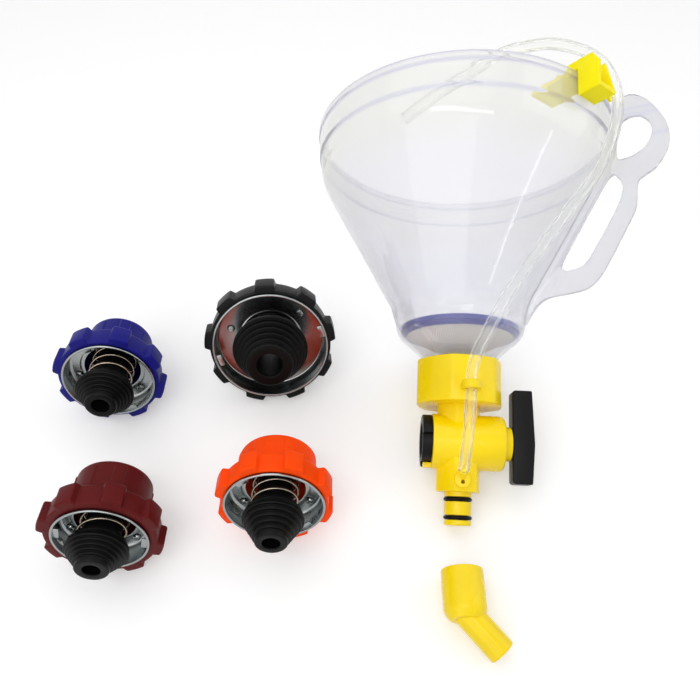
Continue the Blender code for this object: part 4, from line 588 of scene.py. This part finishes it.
handleEdge = smoothLine(onHandle(funnel["outline"]), 2.5) + [Vector((*place, 0)) for place in funnel["root"]]
handleHoles = [roundedLoop(onHandle(funnel[hole]), 2.0) for hole in ("loopHole", "slotHole")]
handleShape = flatPlate([handleEdge, *handleHoles], funnel["handleThickness"], funnel["handleRounding"])
moved(handleShape, aboutZ(-funnel["lean"]) @ aboutX(90))
clearFunnel = finished("clearFunnel", spun(funnel["outside"] + funnel["inside"], funnel["steps"], closed=True))
boolean(clearFunnel, [handleShape], "UNION", 30.0)
placed(clearFunnel, funnelAxes)
dress(clearFunnel, funnelPlastic, "clear_plastic", "funnel_assembly", "funnel")
print("funnel made:", len(clearFunnel.data.polygons), "faces")

# strainer: blue ring in the sump and a gauze dish below it
strainer = {
    "steps": 120,
    "ring": [(37.9, 124.0, 0.5), (37.9, 120.7, 0.4), (36.5, 120.7, 0.2), (35.3, 118.2, 0.3), (34.1, 118.2, 0.3),
             (35.3, 124.0, 0.4)],
    "dish": [(0, 109.8), (15.0, 109.8, 2.0), (33.2, 118.8), (33.8, 118.8), (33.8, 118.2), (15.6, 109.2, 2.0),
             (0, 109.2)],
}
strainerRing = finished("strainerRing", spun(strainer["ring"], strainer["steps"], closed=True), funnelAxes)
dress(strainerRing, plastics["strainerBlue"], "strainer_blue", "strainer", "strainer_ring")
strainerGauze = finished("strainerGauze", spun(strainer["dish"], strainer["steps"]), funnelAxes)
dress(strainerGauze, gauze, "strainer_gauze", "strainer", "strainer_mesh")

# valve body, all one yellow moulding; a hexagon is its radius over a corner and over a face, its foot and its top
valve = {
    "steps": 96, "hexTurn": 106.0, "collar": (27.9, 26.4, 73.2, 101.6), "stem": (14.2, 12.9, 20.0, 74.4),
    "collarRounding": 0.7, "stemRounding": 0.5,
    "barrelHeight": 50.8,
    "barrel": [(0, 32.2), (10.7, 32.2, 0.5), (10.7, 27.6, 0.5), (17.2, 27.6, 2.0), (17.2, -17.0, 0.3), (0, -17.0)],
    "spigot": [
        (0, 22.0), (8.25, 22.0), (8.25, 17.25, 0.2), (6.25, 17.25), (6.25, 14.15), (8.25, 14.15, 0.2),
        (8.25, 6.25, 0.2), (6.25, 6.25), (6.25, 3.15), (8.25, 3.15, 0.2), (8.25, 0, 0.8), (0, 0),
    ],
    "waterway": [(0, 102.5), (24.5, 102.5), (24.5, 75.2), (6.0, 75.2), (6.0, 22.0), (4.4, 20.0), (4.4, -2.0),
                 (0, -2.0)],
    "seat": [(0, 35.2), (5.9, 35.2), (5.9, 26.0), (12.0, 26.0), (12.0, -19.0), (0, -19.0)],
    "boss": {"side": 1.1, "height": 27.0, "radius": 5.0, "reach": 15.0, "hole": 1.25, "holeDepth": 4.0,
             "drop": 1.4},
    "nipple": {"tilt": 45.0, "radius": 2.1, "bore": 1.1, "root": -12.2, "length": 9.9, "boreFoot": -15.0},
    "eyelet": {"side": 3.2, "reach": 31.8, "radius": 5.8, "bore": 4.2, "foot": 79.0, "depth": 5.4, "web": 3.8,
               "root": 24.6},
    "tab": {"low": (13.4, -2.3, -22.2), "high": (16.6, 2.3, -15.0)},
    "oring": {"radius": 7.5, "wire": 1.25, "steps": 64, "heights": {"upper": 15.7, "lower": 4.7}},
}
rotorInFunnel = shift(0, 0, valve["barrelHeight"]) @ aboutY(90)
rotorAxes = funnelAxes @ rotorInFunnel


def bulgedHexagon(corner, face, low, high, rounding):
    # six faces that swell a little, with rounded top and bottom edges
    shape = bmesh.new()
    bmesh.ops.create_cone(shape, cap_ends=True, segments=96, radius1=1.0, radius2=1.0, depth=high - low)
    for vert in shape.verts:
        angle = math.atan2(vert.co.y, vert.co.x)
        radius = corner - (corner - face) * abs(math.sin(3 * angle)) ** 0.8
        vert.co = (radius * math.cos(angle), radius * math.sin(angle), vert.co.z + (high + low) / 2)
    shape.normal_update()
    rims = [edge for edge in shape.edges if abs(edge.verts[0].co.z - edge.verts[1].co.z) < 0.01]
    rounded(shape, rims, rounding, 3)
    return shape


def rod(radius, low, high, steps=48, rounding=0.0):
    if rounding:
        return spun([(0, high), (radius, high, rounding), (radius, low, rounding), (0, low)], steps)
    return spun([(0, high), (radius, high), (radius, low), (0, low)], steps)


# small turns about Z keep the facets of two round shapes from lying on each other
hexed = aboutZ(-valve["hexTurn"])
halfStep = aboutZ(180 / valve["steps"])
upright = aboutX(90)
boss, nipple, eyelet = valve["boss"], valve["nipple"], valve["eyelet"]
bossAxes = shift(boss["side"], 0, boss["height"])
nippleAxes = shift(boss["side"], nipple["root"], boss["height"]) @ aboutX(90 - nipple["tilt"])
eyeletAxes = shift(eyelet["side"], -eyelet["reach"], 0)
valveBody = finished("valveBody", moved(bulgedHexagon(*valve["collar"], valve["collarRounding"]), hexed))
boolean(valveBody, [
    moved(bulgedHexagon(*valve["stem"], valve["stemRounding"]), hexed),
    moved(spun(valve["barrel"], valve["steps"]), rotorInFunnel @ halfStep),
    spun(valve["spigot"], valve["steps"]),
    moved(rod(boss["radius"], 0, boss["reach"], rounding=0.6), bossAxes @ upright @ aboutZ(2.3)),
    moved(rod(nipple["radius"], 0, nipple["length"], rounding=0.3), nippleAxes),
    roundedBox((eyelet["side"] - eyelet["radius"], -eyelet["reach"], eyelet["foot"]),
               (eyelet["side"] + eyelet["radius"], -eyelet["root"], eyelet["foot"] + eyelet["web"]), 0.6),
    moved(rod(eyelet["radius"], eyelet["foot"], eyelet["foot"] + eyelet["depth"], rounding=1.0), eyeletAxes),
    moved(roundedBox(valve["tab"]["low"], valve["tab"]["high"], 0.4), rotorInFunnel),
], "UNION")
boolean(valveBody, [
    moved(spun(valve["waterway"], valve["steps"]), halfStep),
    moved(spun(valve["seat"], valve["steps"]), rotorInFunnel),
    moved(rod(nipple["bore"], nipple["boreFoot"], nipple["length"] + 2), nippleAxes @ aboutZ(3)),
    moved(rod(boss["hole"], boss["reach"] - boss["holeDepth"], boss["reach"] + 2, 24),
          bossAxes @ shift(0, 0, -boss["drop"]) @ upright),
    moved(rod(eyelet["bore"], eyelet["foot"] - 2, eyelet["foot"] + eyelet["depth"] + 2), eyeletAxes @ aboutZ(3)),
], "DIFFERENCE")
placed(valveBody, funnelAxes)
dress(valveBody, plastics["yellow"], "yellow_plastic", "funnel_assembly", "valve_body")


def ringShape(radius, wire, steps, sides=16):
    points = [(radius + wire * math.cos(math.tau * index / sides), wire * math.sin(math.tau * index / sides))
              for index in range(sides)]
    return spun(points, steps, closed=True)


oring = valve["oring"]
for level, height in oring["heights"].items():
    seal = finished("spigotSeal." + level, ringShape(oring["radius"], oring["wire"], oring["steps"]),
                    funnelAxes @ shift(0, 0, height), 180.0)
    dress(seal, rubber, "rubber", "funnel_assembly", "spigot_oring_" + level)
print("valve body made:", len(valveBody.data.polygons), "faces")

# black barrel that turns in the valve body, and its knob; a hole is its radius, foot and top, the notch is two
# radii and two angles in degrees, and the screw's cross is half its length, its width and the height of its floor
rotor = {
    "steps": 96,
    "profile": [
        (0, 41.5), (5.6, 41.5, 0.4), (5.6, 25.7), (11.7, 25.7, 0.3), (11.7, 18.5), (9.4, 18.5), (9.4, 15.9),
        (11.7, 15.9), (11.7, -10.9), (9.4, -10.9), (9.4, -13.5), (11.7, -13.5), (11.7, -17.3), (16.4, -17.3, 0.4),
        (16.4, -23.3, 0.9), (10.8, -23.3, 0.5), (10.8, -21.4, 0.3), (9.2, -21.4, 0.3), (9.2, -19.5, 0.3),
        (0, -19.5),
    ],
    "waterway": (6.0, -17.2, 17.2), "notch": (13.1, 19.2, -102.9, 12.9), "notchDepth": (-26.1, -15.3),
    "screwWell": (1.8, 32.2, 43.5),
    "crossBar": {"low": (-9.4, -1.4, -21.2), "high": (9.4, 1.4, -19.0)},
}
knob = {
    "outline": [(-32.4, 32.7), (23.4, 32.7), (24.6, 33.9), (24.6, 45.0), (0, 46.6), (-33.6, 45.0), (-33.6, 33.9)],
    "depth": 13.0, "rounding": 1.0, "socket": (5.9, 31.6, 41.8), "sink": (3.7, 44.5, 48.8),
    "screwHole": (1.8, 33.6, 48.8),
    "screw": [(0, 46.4), (3.4, 46.4, 0.5), (3.4, 44.8), (1.5, 44.8), (1.5, 32.5), (0, 32.5)],
    "cross": (2.2, 0.7, 45.4),
}
inner, outer, start, end = rotor["notch"]
notchAngles = [math.radians(start + (end - start) * index / 16) for index in range(17)]
notchOutline = [(inner * math.cos(angle), inner * math.sin(angle)) for angle in notchAngles]
notchOutline += [(outer * math.cos(angle), outer * math.sin(angle)) for angle in reversed(notchAngles)]
valveBarrel = finished("valveBarrel", spun(rotor["profile"], rotor["steps"]))
boolean(valveBarrel, [
    moved(rod(*rotor["waterway"]), aboutY(90)),
    slab(notchOutline, *rotor["notchDepth"]),
    rod(*rotor["screwWell"], 24),
], "DIFFERENCE")
boolean(valveBarrel, [roundedBox(rotor["crossBar"]["low"], rotor["crossBar"]["high"], 0.3)], "UNION")
placed(valveBarrel, rotorAxes)
dress(valveBarrel, plastics["black"], "black_plastic", "valve_rotor", "valve_barrel")

half = knob["depth"] / 2
knobBar = finished("knobBar", moved(slab(knob["outline"], -half, half, knob["rounding"], 4, 3.0), aboutX(90)))
boolean(knobBar, [
    rod(*knob["socket"]),
    rod(*knob["sink"]),
    rod(*knob["screwHole"], 24),
], "DIFFERENCE", 25.0)
placed(knobBar, rotorAxes)
dress(knobBar, plastics["black"], "black_plastic", "valve_rotor", "knob")

reach, width, floorHeight = knob["cross"]
knobScrew = finished("knobScrew", spun(knob["screw"], 32))
boolean(knobScrew, [
    roundedBox((-reach, -width / 2, floorHeight), (reach, width / 2, 48.0)),
    moved(roundedBox((-reach, -width / 2, floorHeight), (reach, width / 2, 48.0)), aboutZ(90)),
], "DIFFERENCE")
placed(knobScrew, rotorAxes)
dress(knobScrew, zinc, "zinc_steel", "valve_rotor", "knob_screw")
print("rotor and knob made")

# clip that hooks over the rim: a pocket outside, a tongue inside, and an arm with a cradle behind the hose
clip = {
    "angle": 52.3, "rounding": 0.45,
    "hook": [(100.1, 243.1), (102.5, 243.1), (102.5, 266.2), (91.6, 266.2), (91.6, 257.4), (94.6, 257.4),
             (94.6, 260.3), (100.1, 260.3)],
    "hookSide": 7.6,
    "shelf": {"low": (100.2, -7.65, 243.0), "high": (114.3, 7.65, 246.0)},
    "leftCheek": [(100.15, 243.0), (114.3, 243.0), (114.7, 259.2), (110.2, 266.0), (100.15, 266.3)],
    "rightCheek": [(100.15, 243.0), (114.4, 243.0), (114.4, 244.8), (112.3, 253.4), (110.5, 261.0), (109.2, 265.6),
                   (100.15, 266.3)],
    "cheekSides": (5.9, 7.7),
    "tongue": {"low": (68.5, -10.0, 257.2), "high": (92.4, 10.0, 259.8)},
    "arm": {"low": (100.4, 0, 254.8), "high": (102.0, 22.8, 260.8)},
    "cradle": {"out": 102.76, "side": 27.32, "radius": 5.8, "bore": 4.2, "low": 255.3, "high": 260.3, "spare": 1.2},
}
clipAxes = aboutZ(-clip["angle"])
inside, outside = clip["cheekSides"]
cradle = clip["cradle"]
cradleAxes = shift(cradle["out"], cradle["side"], 0)
beyond, below, above = cradle["radius"] + 2, cradle["low"] - 2, cradle["high"] + 2
rounding, hookSide = clip["rounding"], clip["hookSide"]
hoseClip = finished("hoseClip", moved(slab(clip["hook"], -hookSide, hookSide, rounding), upright))
boolean(hoseClip, [
    roundedBox(clip["shelf"]["low"], clip["shelf"]["high"], rounding),
    moved(slab(clip["leftCheek"], inside, outside, rounding), upright),
    moved(slab(clip["rightCheek"], -outside, -inside, rounding), upright),
    roundedBox(clip["tongue"]["low"], clip["tongue"]["high"], rounding),
    roundedBox(clip["arm"]["low"], clip["arm"]["high"], rounding),
    moved(rod(cradle["radius"], cradle["low"], cradle["high"], rounding=0.4), cradleAxes),
], "UNION")
boolean(hoseClip, [
    moved(rod(cradle["bore"], below, above), cradleAxes @ aboutZ(4)),
    moved(roundedBox((cradle["spare"], -beyond, below), (beyond, beyond, above)), cradleAxes),
    moved(roundedBox((-beyond, cradle["spare"], below), (beyond, beyond, above)), cradleAxes),
], "DIFFERENCE")
placed(hoseClip, funnelAxes @ clipAxes)
dress(hoseClip, plastics["clipYellow"], "clip_plastic", "funnel_assembly", "hose_clip")
print("clip made")

# elbow: a wide socket and a narrower spout that bends off it
elbow = {
    "place": (0.062337, -0.157025, 0.012289), "tipDrop": 4.3, "tipReach": 29.0,
    "bend": 43.0, "knuckle": 5.0, "steps": 96,
    "socket": [(0, 28.0), (12.3, 28.0, 0.5), (12.3, 4.6, 2.0), (9.3, 0, 1.0), (0, 0)],
    "spout": [(0, 29.0), (8.0, 29.0, 1.1), (8.0, 0), (0, -5.0)],
    "well": [(0, 30.0), (8.9, 30.0), (8.9, 6.0), (5.2, 4.0), (0, 4.0)],
    "bore": (5.2, -1.0, 31.0),
}
# rolled until the tip of the spout lies on the floor too
roll = math.asin(elbow["tipDrop"] / (elbow["tipReach"] * math.sin(math.radians(elbow["bend"]))))
elbowAxes = Matrix.Translation(elbow["place"]) @ aboutY(math.degrees(roll)) @ aboutX(-90)
spoutAxes = shift(0, 0, elbow["knuckle"]) @ aboutY(180 - elbow["bend"])
yellowElbow = finished("yellowElbow", spun(elbow["socket"], elbow["steps"]))
boolean(yellowElbow, [moved(spun(elbow["spout"], elbow["steps"]), spoutAxes @ aboutZ(2))], "UNION")
boolean(yellowElbow, [spun(elbow["well"], elbow["steps"])], "DIFFERENCE")
boolean(yellowElbow, [moved(rod(*elbow["bore"]), spoutAxes)], "DIFFERENCE")
placed(yellowElbow, elbowAxes)
dress(yellowElbow, plastics["yellow"], "yellow_plastic", "elbow", "elbow")
print("elbow made")

# adapters: sizes along the axis are measured from the mouth of the metal cup, tab and rivet are degrees round it
adapters = {
    "black": {"lugs": 9, "cup": 37.2, "cap": 24.0, "lug": 43.0, "height": 34.4, "plug": 24.6, "widest": 4.6,
              "tip": 14.8, "tipLength": 4.2, "plugTip": 24.5, "bore": 8.2, "spring": 14.4, "tab": 13.5,
              "rivet": 40.0},
    "blue": {"lugs": 8, "cup": 28.8, "cap": 21.2, "lug": 35.3, "height": 40.9, "plug": 18.4, "widest": 12.0,
             "tip": 9.8, "tipLength": 3.4, "plugTip": 23.4, "bore": 5.6, "spring": 14.4, "tab": -70.0,
             "rivet": -50.0},
    "maroon": {"lugs": 8, "cup": 26.8, "cap": 22.4, "lug": 35.2, "height": 39.4, "plug": 18.1, "widest": 8.4,
               "tip": 9.6, "tipLength": 3.4, "plugTip": 19.4, "bore": 5.0, "spring": 14.0, "tab": -14.0,
               "rivet": -47.0},
    "orange": {"lugs": 8, "cup": 29.1, "cap": 23.4, "lug": 34.8, "height": 35.4, "plug": 18.2, "widest": 10.4,
               "tip": 9.4, "tipLength": 3.4, "plugTip": 25.0, "bore": 5.2, "spring": 14.2, "tab": -50.0,
               "rivet": 90.0},
}
grip = {"lugHeight": 3.4, "ringShadeDepth": 14.0, "ribHeight": 0.7, "front": 1.2, "wall": 2.6, "floor": 3.0,
        "shoulder": 1.6, "ribFoot": 3.0, "ribSlope": 0.4,
        "columns": 40, "lugShare": 0.45, "flankShare": 0.07, "ribShare": 0.40, "ribFlankShare": 0.05}
cup = {"sheet": 0.9, "depth": 13.6, "lip": 0.8, "roll": 0.55, "steps": 180, "rampDepth": 1.1, "rampWidth": 2.2,
       "rampTurn": 95.0, "rampHigh": -3.0, "rampLow": -8.0, "tabWidth": 8.0, "tabReach": 3.4, "tabThickness": 0.9,
       "tabFoot": -1.8}
rivet = {"radius": 2.6, "height": 1.1, "cross": (3.4, 0.5, 0.45), "crossTurn": 20, "topShare": 0.75,
         "steps": 32}
stem = {"wall": 1.9, "socket": 8.9, "socketDepth": 20.0, "flange": 1.6, "steps": 64}
plug = {"backStep": 1.4, "depth": 5.0, "tipWall": 2.2, "ledges": 4, "taper": 0.25, "steps": 96, "rounding": 0.55,
        "press": 8.0}
coil = {"wire": 0.8, "turns": 5, "pointsPerTurn": 36, "sides": 12}
gap = 0.3  # play between pieces that slide or turn


def flank(value, share, slope):
    # 1 on a lug that takes up this share of the pitch, 0 beside it, with sloping sides
    beside = abs((value + 0.5) % 1 - 0.5)
    t = max(0.0, min(1.0, (share / 2 + slope / 2 - beside) / slope))
    return t * t * (3 - 2 * t)


def gripCap(size):
    body, tail = size["cap"], -size["height"]
    ringRadius = size["lug"] - grip["lugHeight"]
    hole = stem["socket"] + stem["wall"] + gap
    chamber, seat = body - grip["wall"], size["cup"] + gap
    ringBack = -grip["ringShadeDepth"]
    shoulder, ribEnd = grip["shoulder"], tail + grip["ribFoot"]
    rows = [(body, ringBack - shoulder + (tail - ringBack + 2 * shoulder) * index / 6) for index in range(1, 6)]
    shape = spun([
        (ringRadius, -grip["front"], 1.1), (ringRadius, ringBack, 1.1), (body + 0.4, ringBack - 1.4, 0.8), *rows,
        (body, ribEnd + grip["ribSlope"]), (body, ribEnd - grip["ribSlope"]), (body, tail, 1.6),
        (hole, tail, 0.3), (hole, tail + grip["floor"]),
        (chamber, tail + grip["floor"]), (chamber, -cup["depth"] - gap), (seat, -cup["depth"] - gap),
        (seat, -grip["front"], 0.4),
    ], size["lugs"] * grip["columns"], closed=True)
    for vert in shape.verts:
        radius = math.hypot(vert.co.x, vert.co.y)
        around = math.atan2(vert.co.y, vert.co.x) / math.tau * size["lugs"] - 0.5 + size["lugs"] / 4
        lift = 0
        if radius > ringRadius - 1.4 and vert.co.z > ringBack - 0.3:
            lift = grip["lugHeight"] * flank(around, grip["lugShare"], grip["flankShare"])
        elif radius > body - 0.3 and ribEnd < vert.co.z < ringBack:
            lift = grip["ribHeight"] * flank(around, grip["ribShare"], grip["ribFlankShare"])
        vert.co.x *= (radius + lift) / radius
        vert.co.y *= (radius + lift) / radius
    return shape


def metalCup(size):
    radius, sheet, depth = size["cup"], cup["sheet"], cup["depth"]
    opening = size["spring"] + 2 * stem["flange"] + gap
    wallRows = [(radius - sheet, -depth + sheet + 2.6 + (depth - 3.6) * index / 14) for index in range(15)]
    shape = spun([
        (radius + cup["roll"], cup["lip"] - 0.1, 0.5), (radius + cup["roll"], -0.7, 0.3), (radius, -sheet),
        (radius, -depth, 1.5),
        (opening, -depth, 0.2), (opening, sheet - depth, 0.3), (opening + 2.2, sheet - depth, 0.4),
        (opening + 2.9, sheet - depth - 0.25, 0.4), (radius - sheet, sheet - depth, 2.4), *wallRows,
        (radius - sheet, cup["lip"] - 0.1, 0.45),
    ], cup["steps"], closed=True)
    ramp = math.radians(cup["rampTurn"])
    for vert in shape.verts:
        away = math.hypot(vert.co.x, vert.co.y)
        if abs(away - radius + sheet) > 0.05 or not 2.5 - depth <= vert.co.z <= -0.8:
            continue  # only the wall's inside is pressed in
        turn = (math.atan2(vert.co.y, vert.co.x) - math.radians(size["tab"])) % math.pi
        if turn > ramp:
            continue
        share = turn / ramp
        middle = cup["rampHigh"] + (cup["rampLow"] - cup["rampHigh"]) * share
        band = max(0.0, 1 - abs(vert.co.z - middle) / cup["rampWidth"])
        ends = min(1.0, share * 8, (1 - share) * 8)
        push = cup["rampDepth"] * band * band * (3 - 2 * band) * ends
        vert.co.x *= (away - push) / away
        vert.co.y *= (away - push) / away
    return shape


def cupTab(size, turn):
    outside = size["cup"] - cup["sheet"] / 2
    width = cup["tabWidth"] / 2
    low = (outside - cup["sheet"] / 2 - cup["tabReach"], -width, cup["tabFoot"])
    return moved(roundedBox(low, (outside, width, cup["tabFoot"] + cup["tabThickness"]), 0.25), aboutZ(turn))


def rubberPlug(size):
    tip, widest, rounding = size["plugTip"], size["widest"], plug["rounding"]
    shoulder = tip - size["tipLength"]
    rise = (shoulder - widest) / plug["ledges"]
    narrowing = (size["plug"] - size["tip"]) / (plug["ledges"] + 1)
    outside = [(size["tip"], tip, 0.9), (size["tip"], shoulder, 0.4)]
    for index in range(plug["ledges"]):
        radius = size["tip"] + narrowing * (index + 1)
        outside += [(radius, shoulder - rise * index, rounding),
                    (radius - plug["taper"], shoulder - rise * (index + 1), 0.3)]
    back = widest - plug["depth"]
    pocket = size["bore"] + stem["wall"] + gap
    return spun(outside + [
        (size["plug"], widest, 0.9), (size["plug"] - plug["backStep"], back, 0.8), (pocket, back),
        (pocket, tip - plug["tipWall"]), (size["bore"], tip - plug["tipWall"]), (size["bore"], tip, 0.5),
    ], plug["steps"], closed=True)


def hollowStem(size):
    tip = size["plugTip"] - plug["tipWall"] - gap
    front = size["widest"] - plug["depth"] - gap
    tail, bore, sleeve = -size["height"], size["bore"], stem["socket"] + stem["wall"]
    edge = size["spring"] + stem["flange"]
    return spun([
        (bore + stem["wall"], tip, 0.3), (bore + stem["wall"], front), (edge, front, 0.3),
        (edge, front - stem["flange"], 0.3), (sleeve, front - stem["flange"]), (sleeve, tail, 0.4),
        (stem["socket"], tail, 0.5), (stem["socket"], tail + stem["socketDepth"]),
        (bore, tail + stem["socketDepth"] + gap), (bore, tip),
    ], stem["steps"], closed=True)


def springCoil(size):
    low = -size["height"] + grip["floor"] + gap + coil["wire"]
    high = size["widest"] - plug["depth"] - stem["flange"] - 2 * gap - coil["wire"]
    radius, count = size["spring"] - coil["wire"], coil["turns"] * coil["pointsPerTurn"]
    line = [Vector((radius * math.cos(math.tau * index / coil["pointsPerTurn"]),
                    radius * math.sin(math.tau * index / coil["pointsPerTurn"]),
                    low + (high - low) * index / count)) for index in range(count + 1)]
    return capped(sweptLoops(line, coil["wire"], coil["sides"], "springCoil"))


def rivetHead(size, index):
    opening = size["spring"] + 2 * stem["flange"] + gap
    orbit = (opening + size["cup"] - cup["sheet"]) / 2
    base = cup["sheet"] - cup["depth"] + gap
    turn = size["rivet"] + index * 120
    top = base + rivet["height"]
    radius = rivet["radius"]
    shape = spun([(0, top), (radius * rivet["topShare"], top, 0.3), (radius, base, 0.1), (0, base)], rivet["steps"])
    length, width, depth = rivet["cross"]
    head = finished("rivetHead", shape)
    boolean(head, [
        moved(roundedBox((-length / 2, -width / 2, top - depth), (length / 2, width / 2, top + 1)), aboutZ(angle))
        for angle in (rivet["crossTurn"], rivet["crossTurn"] + 90)
    ], "DIFFERENCE")
    return placed(head, aboutZ(turn) @ shift(orbit, 0, 0))


for colour, size in adapters.items():
    axes = itemAxes(colour)
    cap = finished(colour + "Grip", gripCap(size), axes, 30.0)
    dress(cap, plastics[colour], colour + "_plastic", colour + "_cap", colour + "_grip_cap")
    metal = finished(colour + "Cup", metalCup(size))
    boolean(metal, [cupTab(size, size["tab"] + turn) for turn in (0, 180)], "UNION")
    placed(metal, axes)
    dress(metal, zinc, "zinc_steel", colour + "_cap", colour + "_metal_cup")
    for index in range(3):
        head = placed(rivetHead(size, index), axes)
        head.name = colour + "Rivet." + str(index + 1)
        dress(head, zinc, "zinc_steel", colour + "_cap", colour + "_rivet_" + str(index + 1))
    sleeve = finished(colour + "Stem", hollowStem(size), axes)
    dress(sleeve, plastics["black"], "black_plastic", colour + "_plug", colour + "_stem")
    bung = finished(colour + "Plug", rubberPlug(size), axes, 50.0)
    dress(bung, rubber, "rubber", colour + "_plug", colour + "_rubber_plug")
    wire = finished(colour + "Spring", springCoil(size), axes, 60.0)
    dress(wire, springSteel, "spring_steel", colour + "_spring", colour + "_spring")
    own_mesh(wire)
    print(colour, "adapter made")

# hidden rings and the gasket keep their own shapes
for node in ("neck_gasket", "barrel_oring_left", "barrel_oring_right"):
    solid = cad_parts[node]
    solid.data.materials.clear()
    solid.data.materials.append(rubber)

# studio: a white floor, a white surround, large soft lamps and two narrow ones for the glints on the bowl
studio = {"floorSize": 6.0, "floorShade": 0.80, "floorGlow": 0.28, "surround": 0.42, "seen": 1.0, "floorDrop": 0.3}
lamps = {
    "overheadLamp": {"place": (-0.25, 0.30, 1.10), "aim": (0, 0, 0), "size": (1.5, 1.2), "watts": 4.8},
    "frontLamp": {"place": (-0.55, -0.95, 0.75), "aim": (0, 0, 0), "size": (1.2, 1.2), "watts": 5.0},
    "rightLamp": {"place": (0.95, 0.10, 0.65), "aim": (0, 0, 0), "size": (0.7, 1.0), "watts": 2.2},
    "stripLamp": {"place": (0.845, -0.715, 0.54), "aim": (0.08, 0.04, 0.12), "size": (0.7, 0.022), "watts": 0.36},
    "windowLamp": {"place": (-0.10, -0.45, 1.05), "aim": (0.06, 0.08, 0.13), "size": (0.9, 0.12), "watts": 1.9},
}


def seenRays(tree):
    # 1 for what the camera sees, straight or by way of gloss and clear plastic, and 0 for plain light
    rays = addNode(tree, "ShaderNodeLightPath")
    straight = addNode(tree, "ShaderNodeMath", {
        0: rays.outputs["Is Camera Ray"], 1: rays.outputs["Is Glossy Ray"]}, operation="MAXIMUM")
    return addNode(tree, "ShaderNodeMath", {
        0: straight.outputs[0], 1: rays.outputs["Is Transmission Ray"]}, operation="MAXIMUM").outputs[0]


floorShape = bmesh.new()
bmesh.ops.create_grid(floorShape, x_segments=1, y_segments=1, size=studio["floorSize"] / 2 / mm)
studioFloor = finished("studioFloor", floorShape, shift(0, 0, -studio["floorDrop"]))
floorLook = bpy.data.materials.new("whiteFloor")
floorLook.use_nodes = True
tree = floorLook.node_tree
shader = tree.nodes["Principled BSDF"]
shader.inputs["Base Color"].default_value = (studio["floorShade"],) * 3 + (1,)
shader.inputs["Roughness"].default_value = 0.9
shader.inputs["Specular IOR Level"].default_value = 0.0
seen = seenRays(tree)
glow = addNode(tree, "ShaderNodeMath", {0: seen, 1: studio["floorGlow"]}, operation="MULTIPLY")
shader.inputs["Emission Color"].default_value = (1, 1, 1, 1)
tree.links.new(glow.outputs[0], shader.inputs["Emission Strength"])
studioFloor.data.materials.append(floorLook)

for name, lamp in lamps.items():
    light = bpy.data.lights.new(name, "AREA")
    light.shape = "RECTANGLE"
    light.size, light.size_y = lamp["size"]
    light.energy = lamp["watts"]
    holder = bpy.data.objects.new(name, light)
    holder.location = lamp["place"]
    holder.rotation_euler = (Vector(lamp["aim"]) - Vector(lamp["place"])).to_track_quat("-Z", "Y").to_euler()
    scene.collection.objects.link(holder)

world = bpy.data.worlds.new("studioSurround")
scene.world = world
world.use_nodes = True
tree = world.node_tree
background = tree.nodes["Background"]
strength = addNode(tree, "ShaderNodeMapRange", {
    "Value": seenRays(tree), "To Min": studio["surround"], "To Max": studio["seen"]})
tree.links.new(strength.outputs["Result"], background.inputs["Strength"])
background.inputs["Color"].default_value = (1, 1, 1, 1)
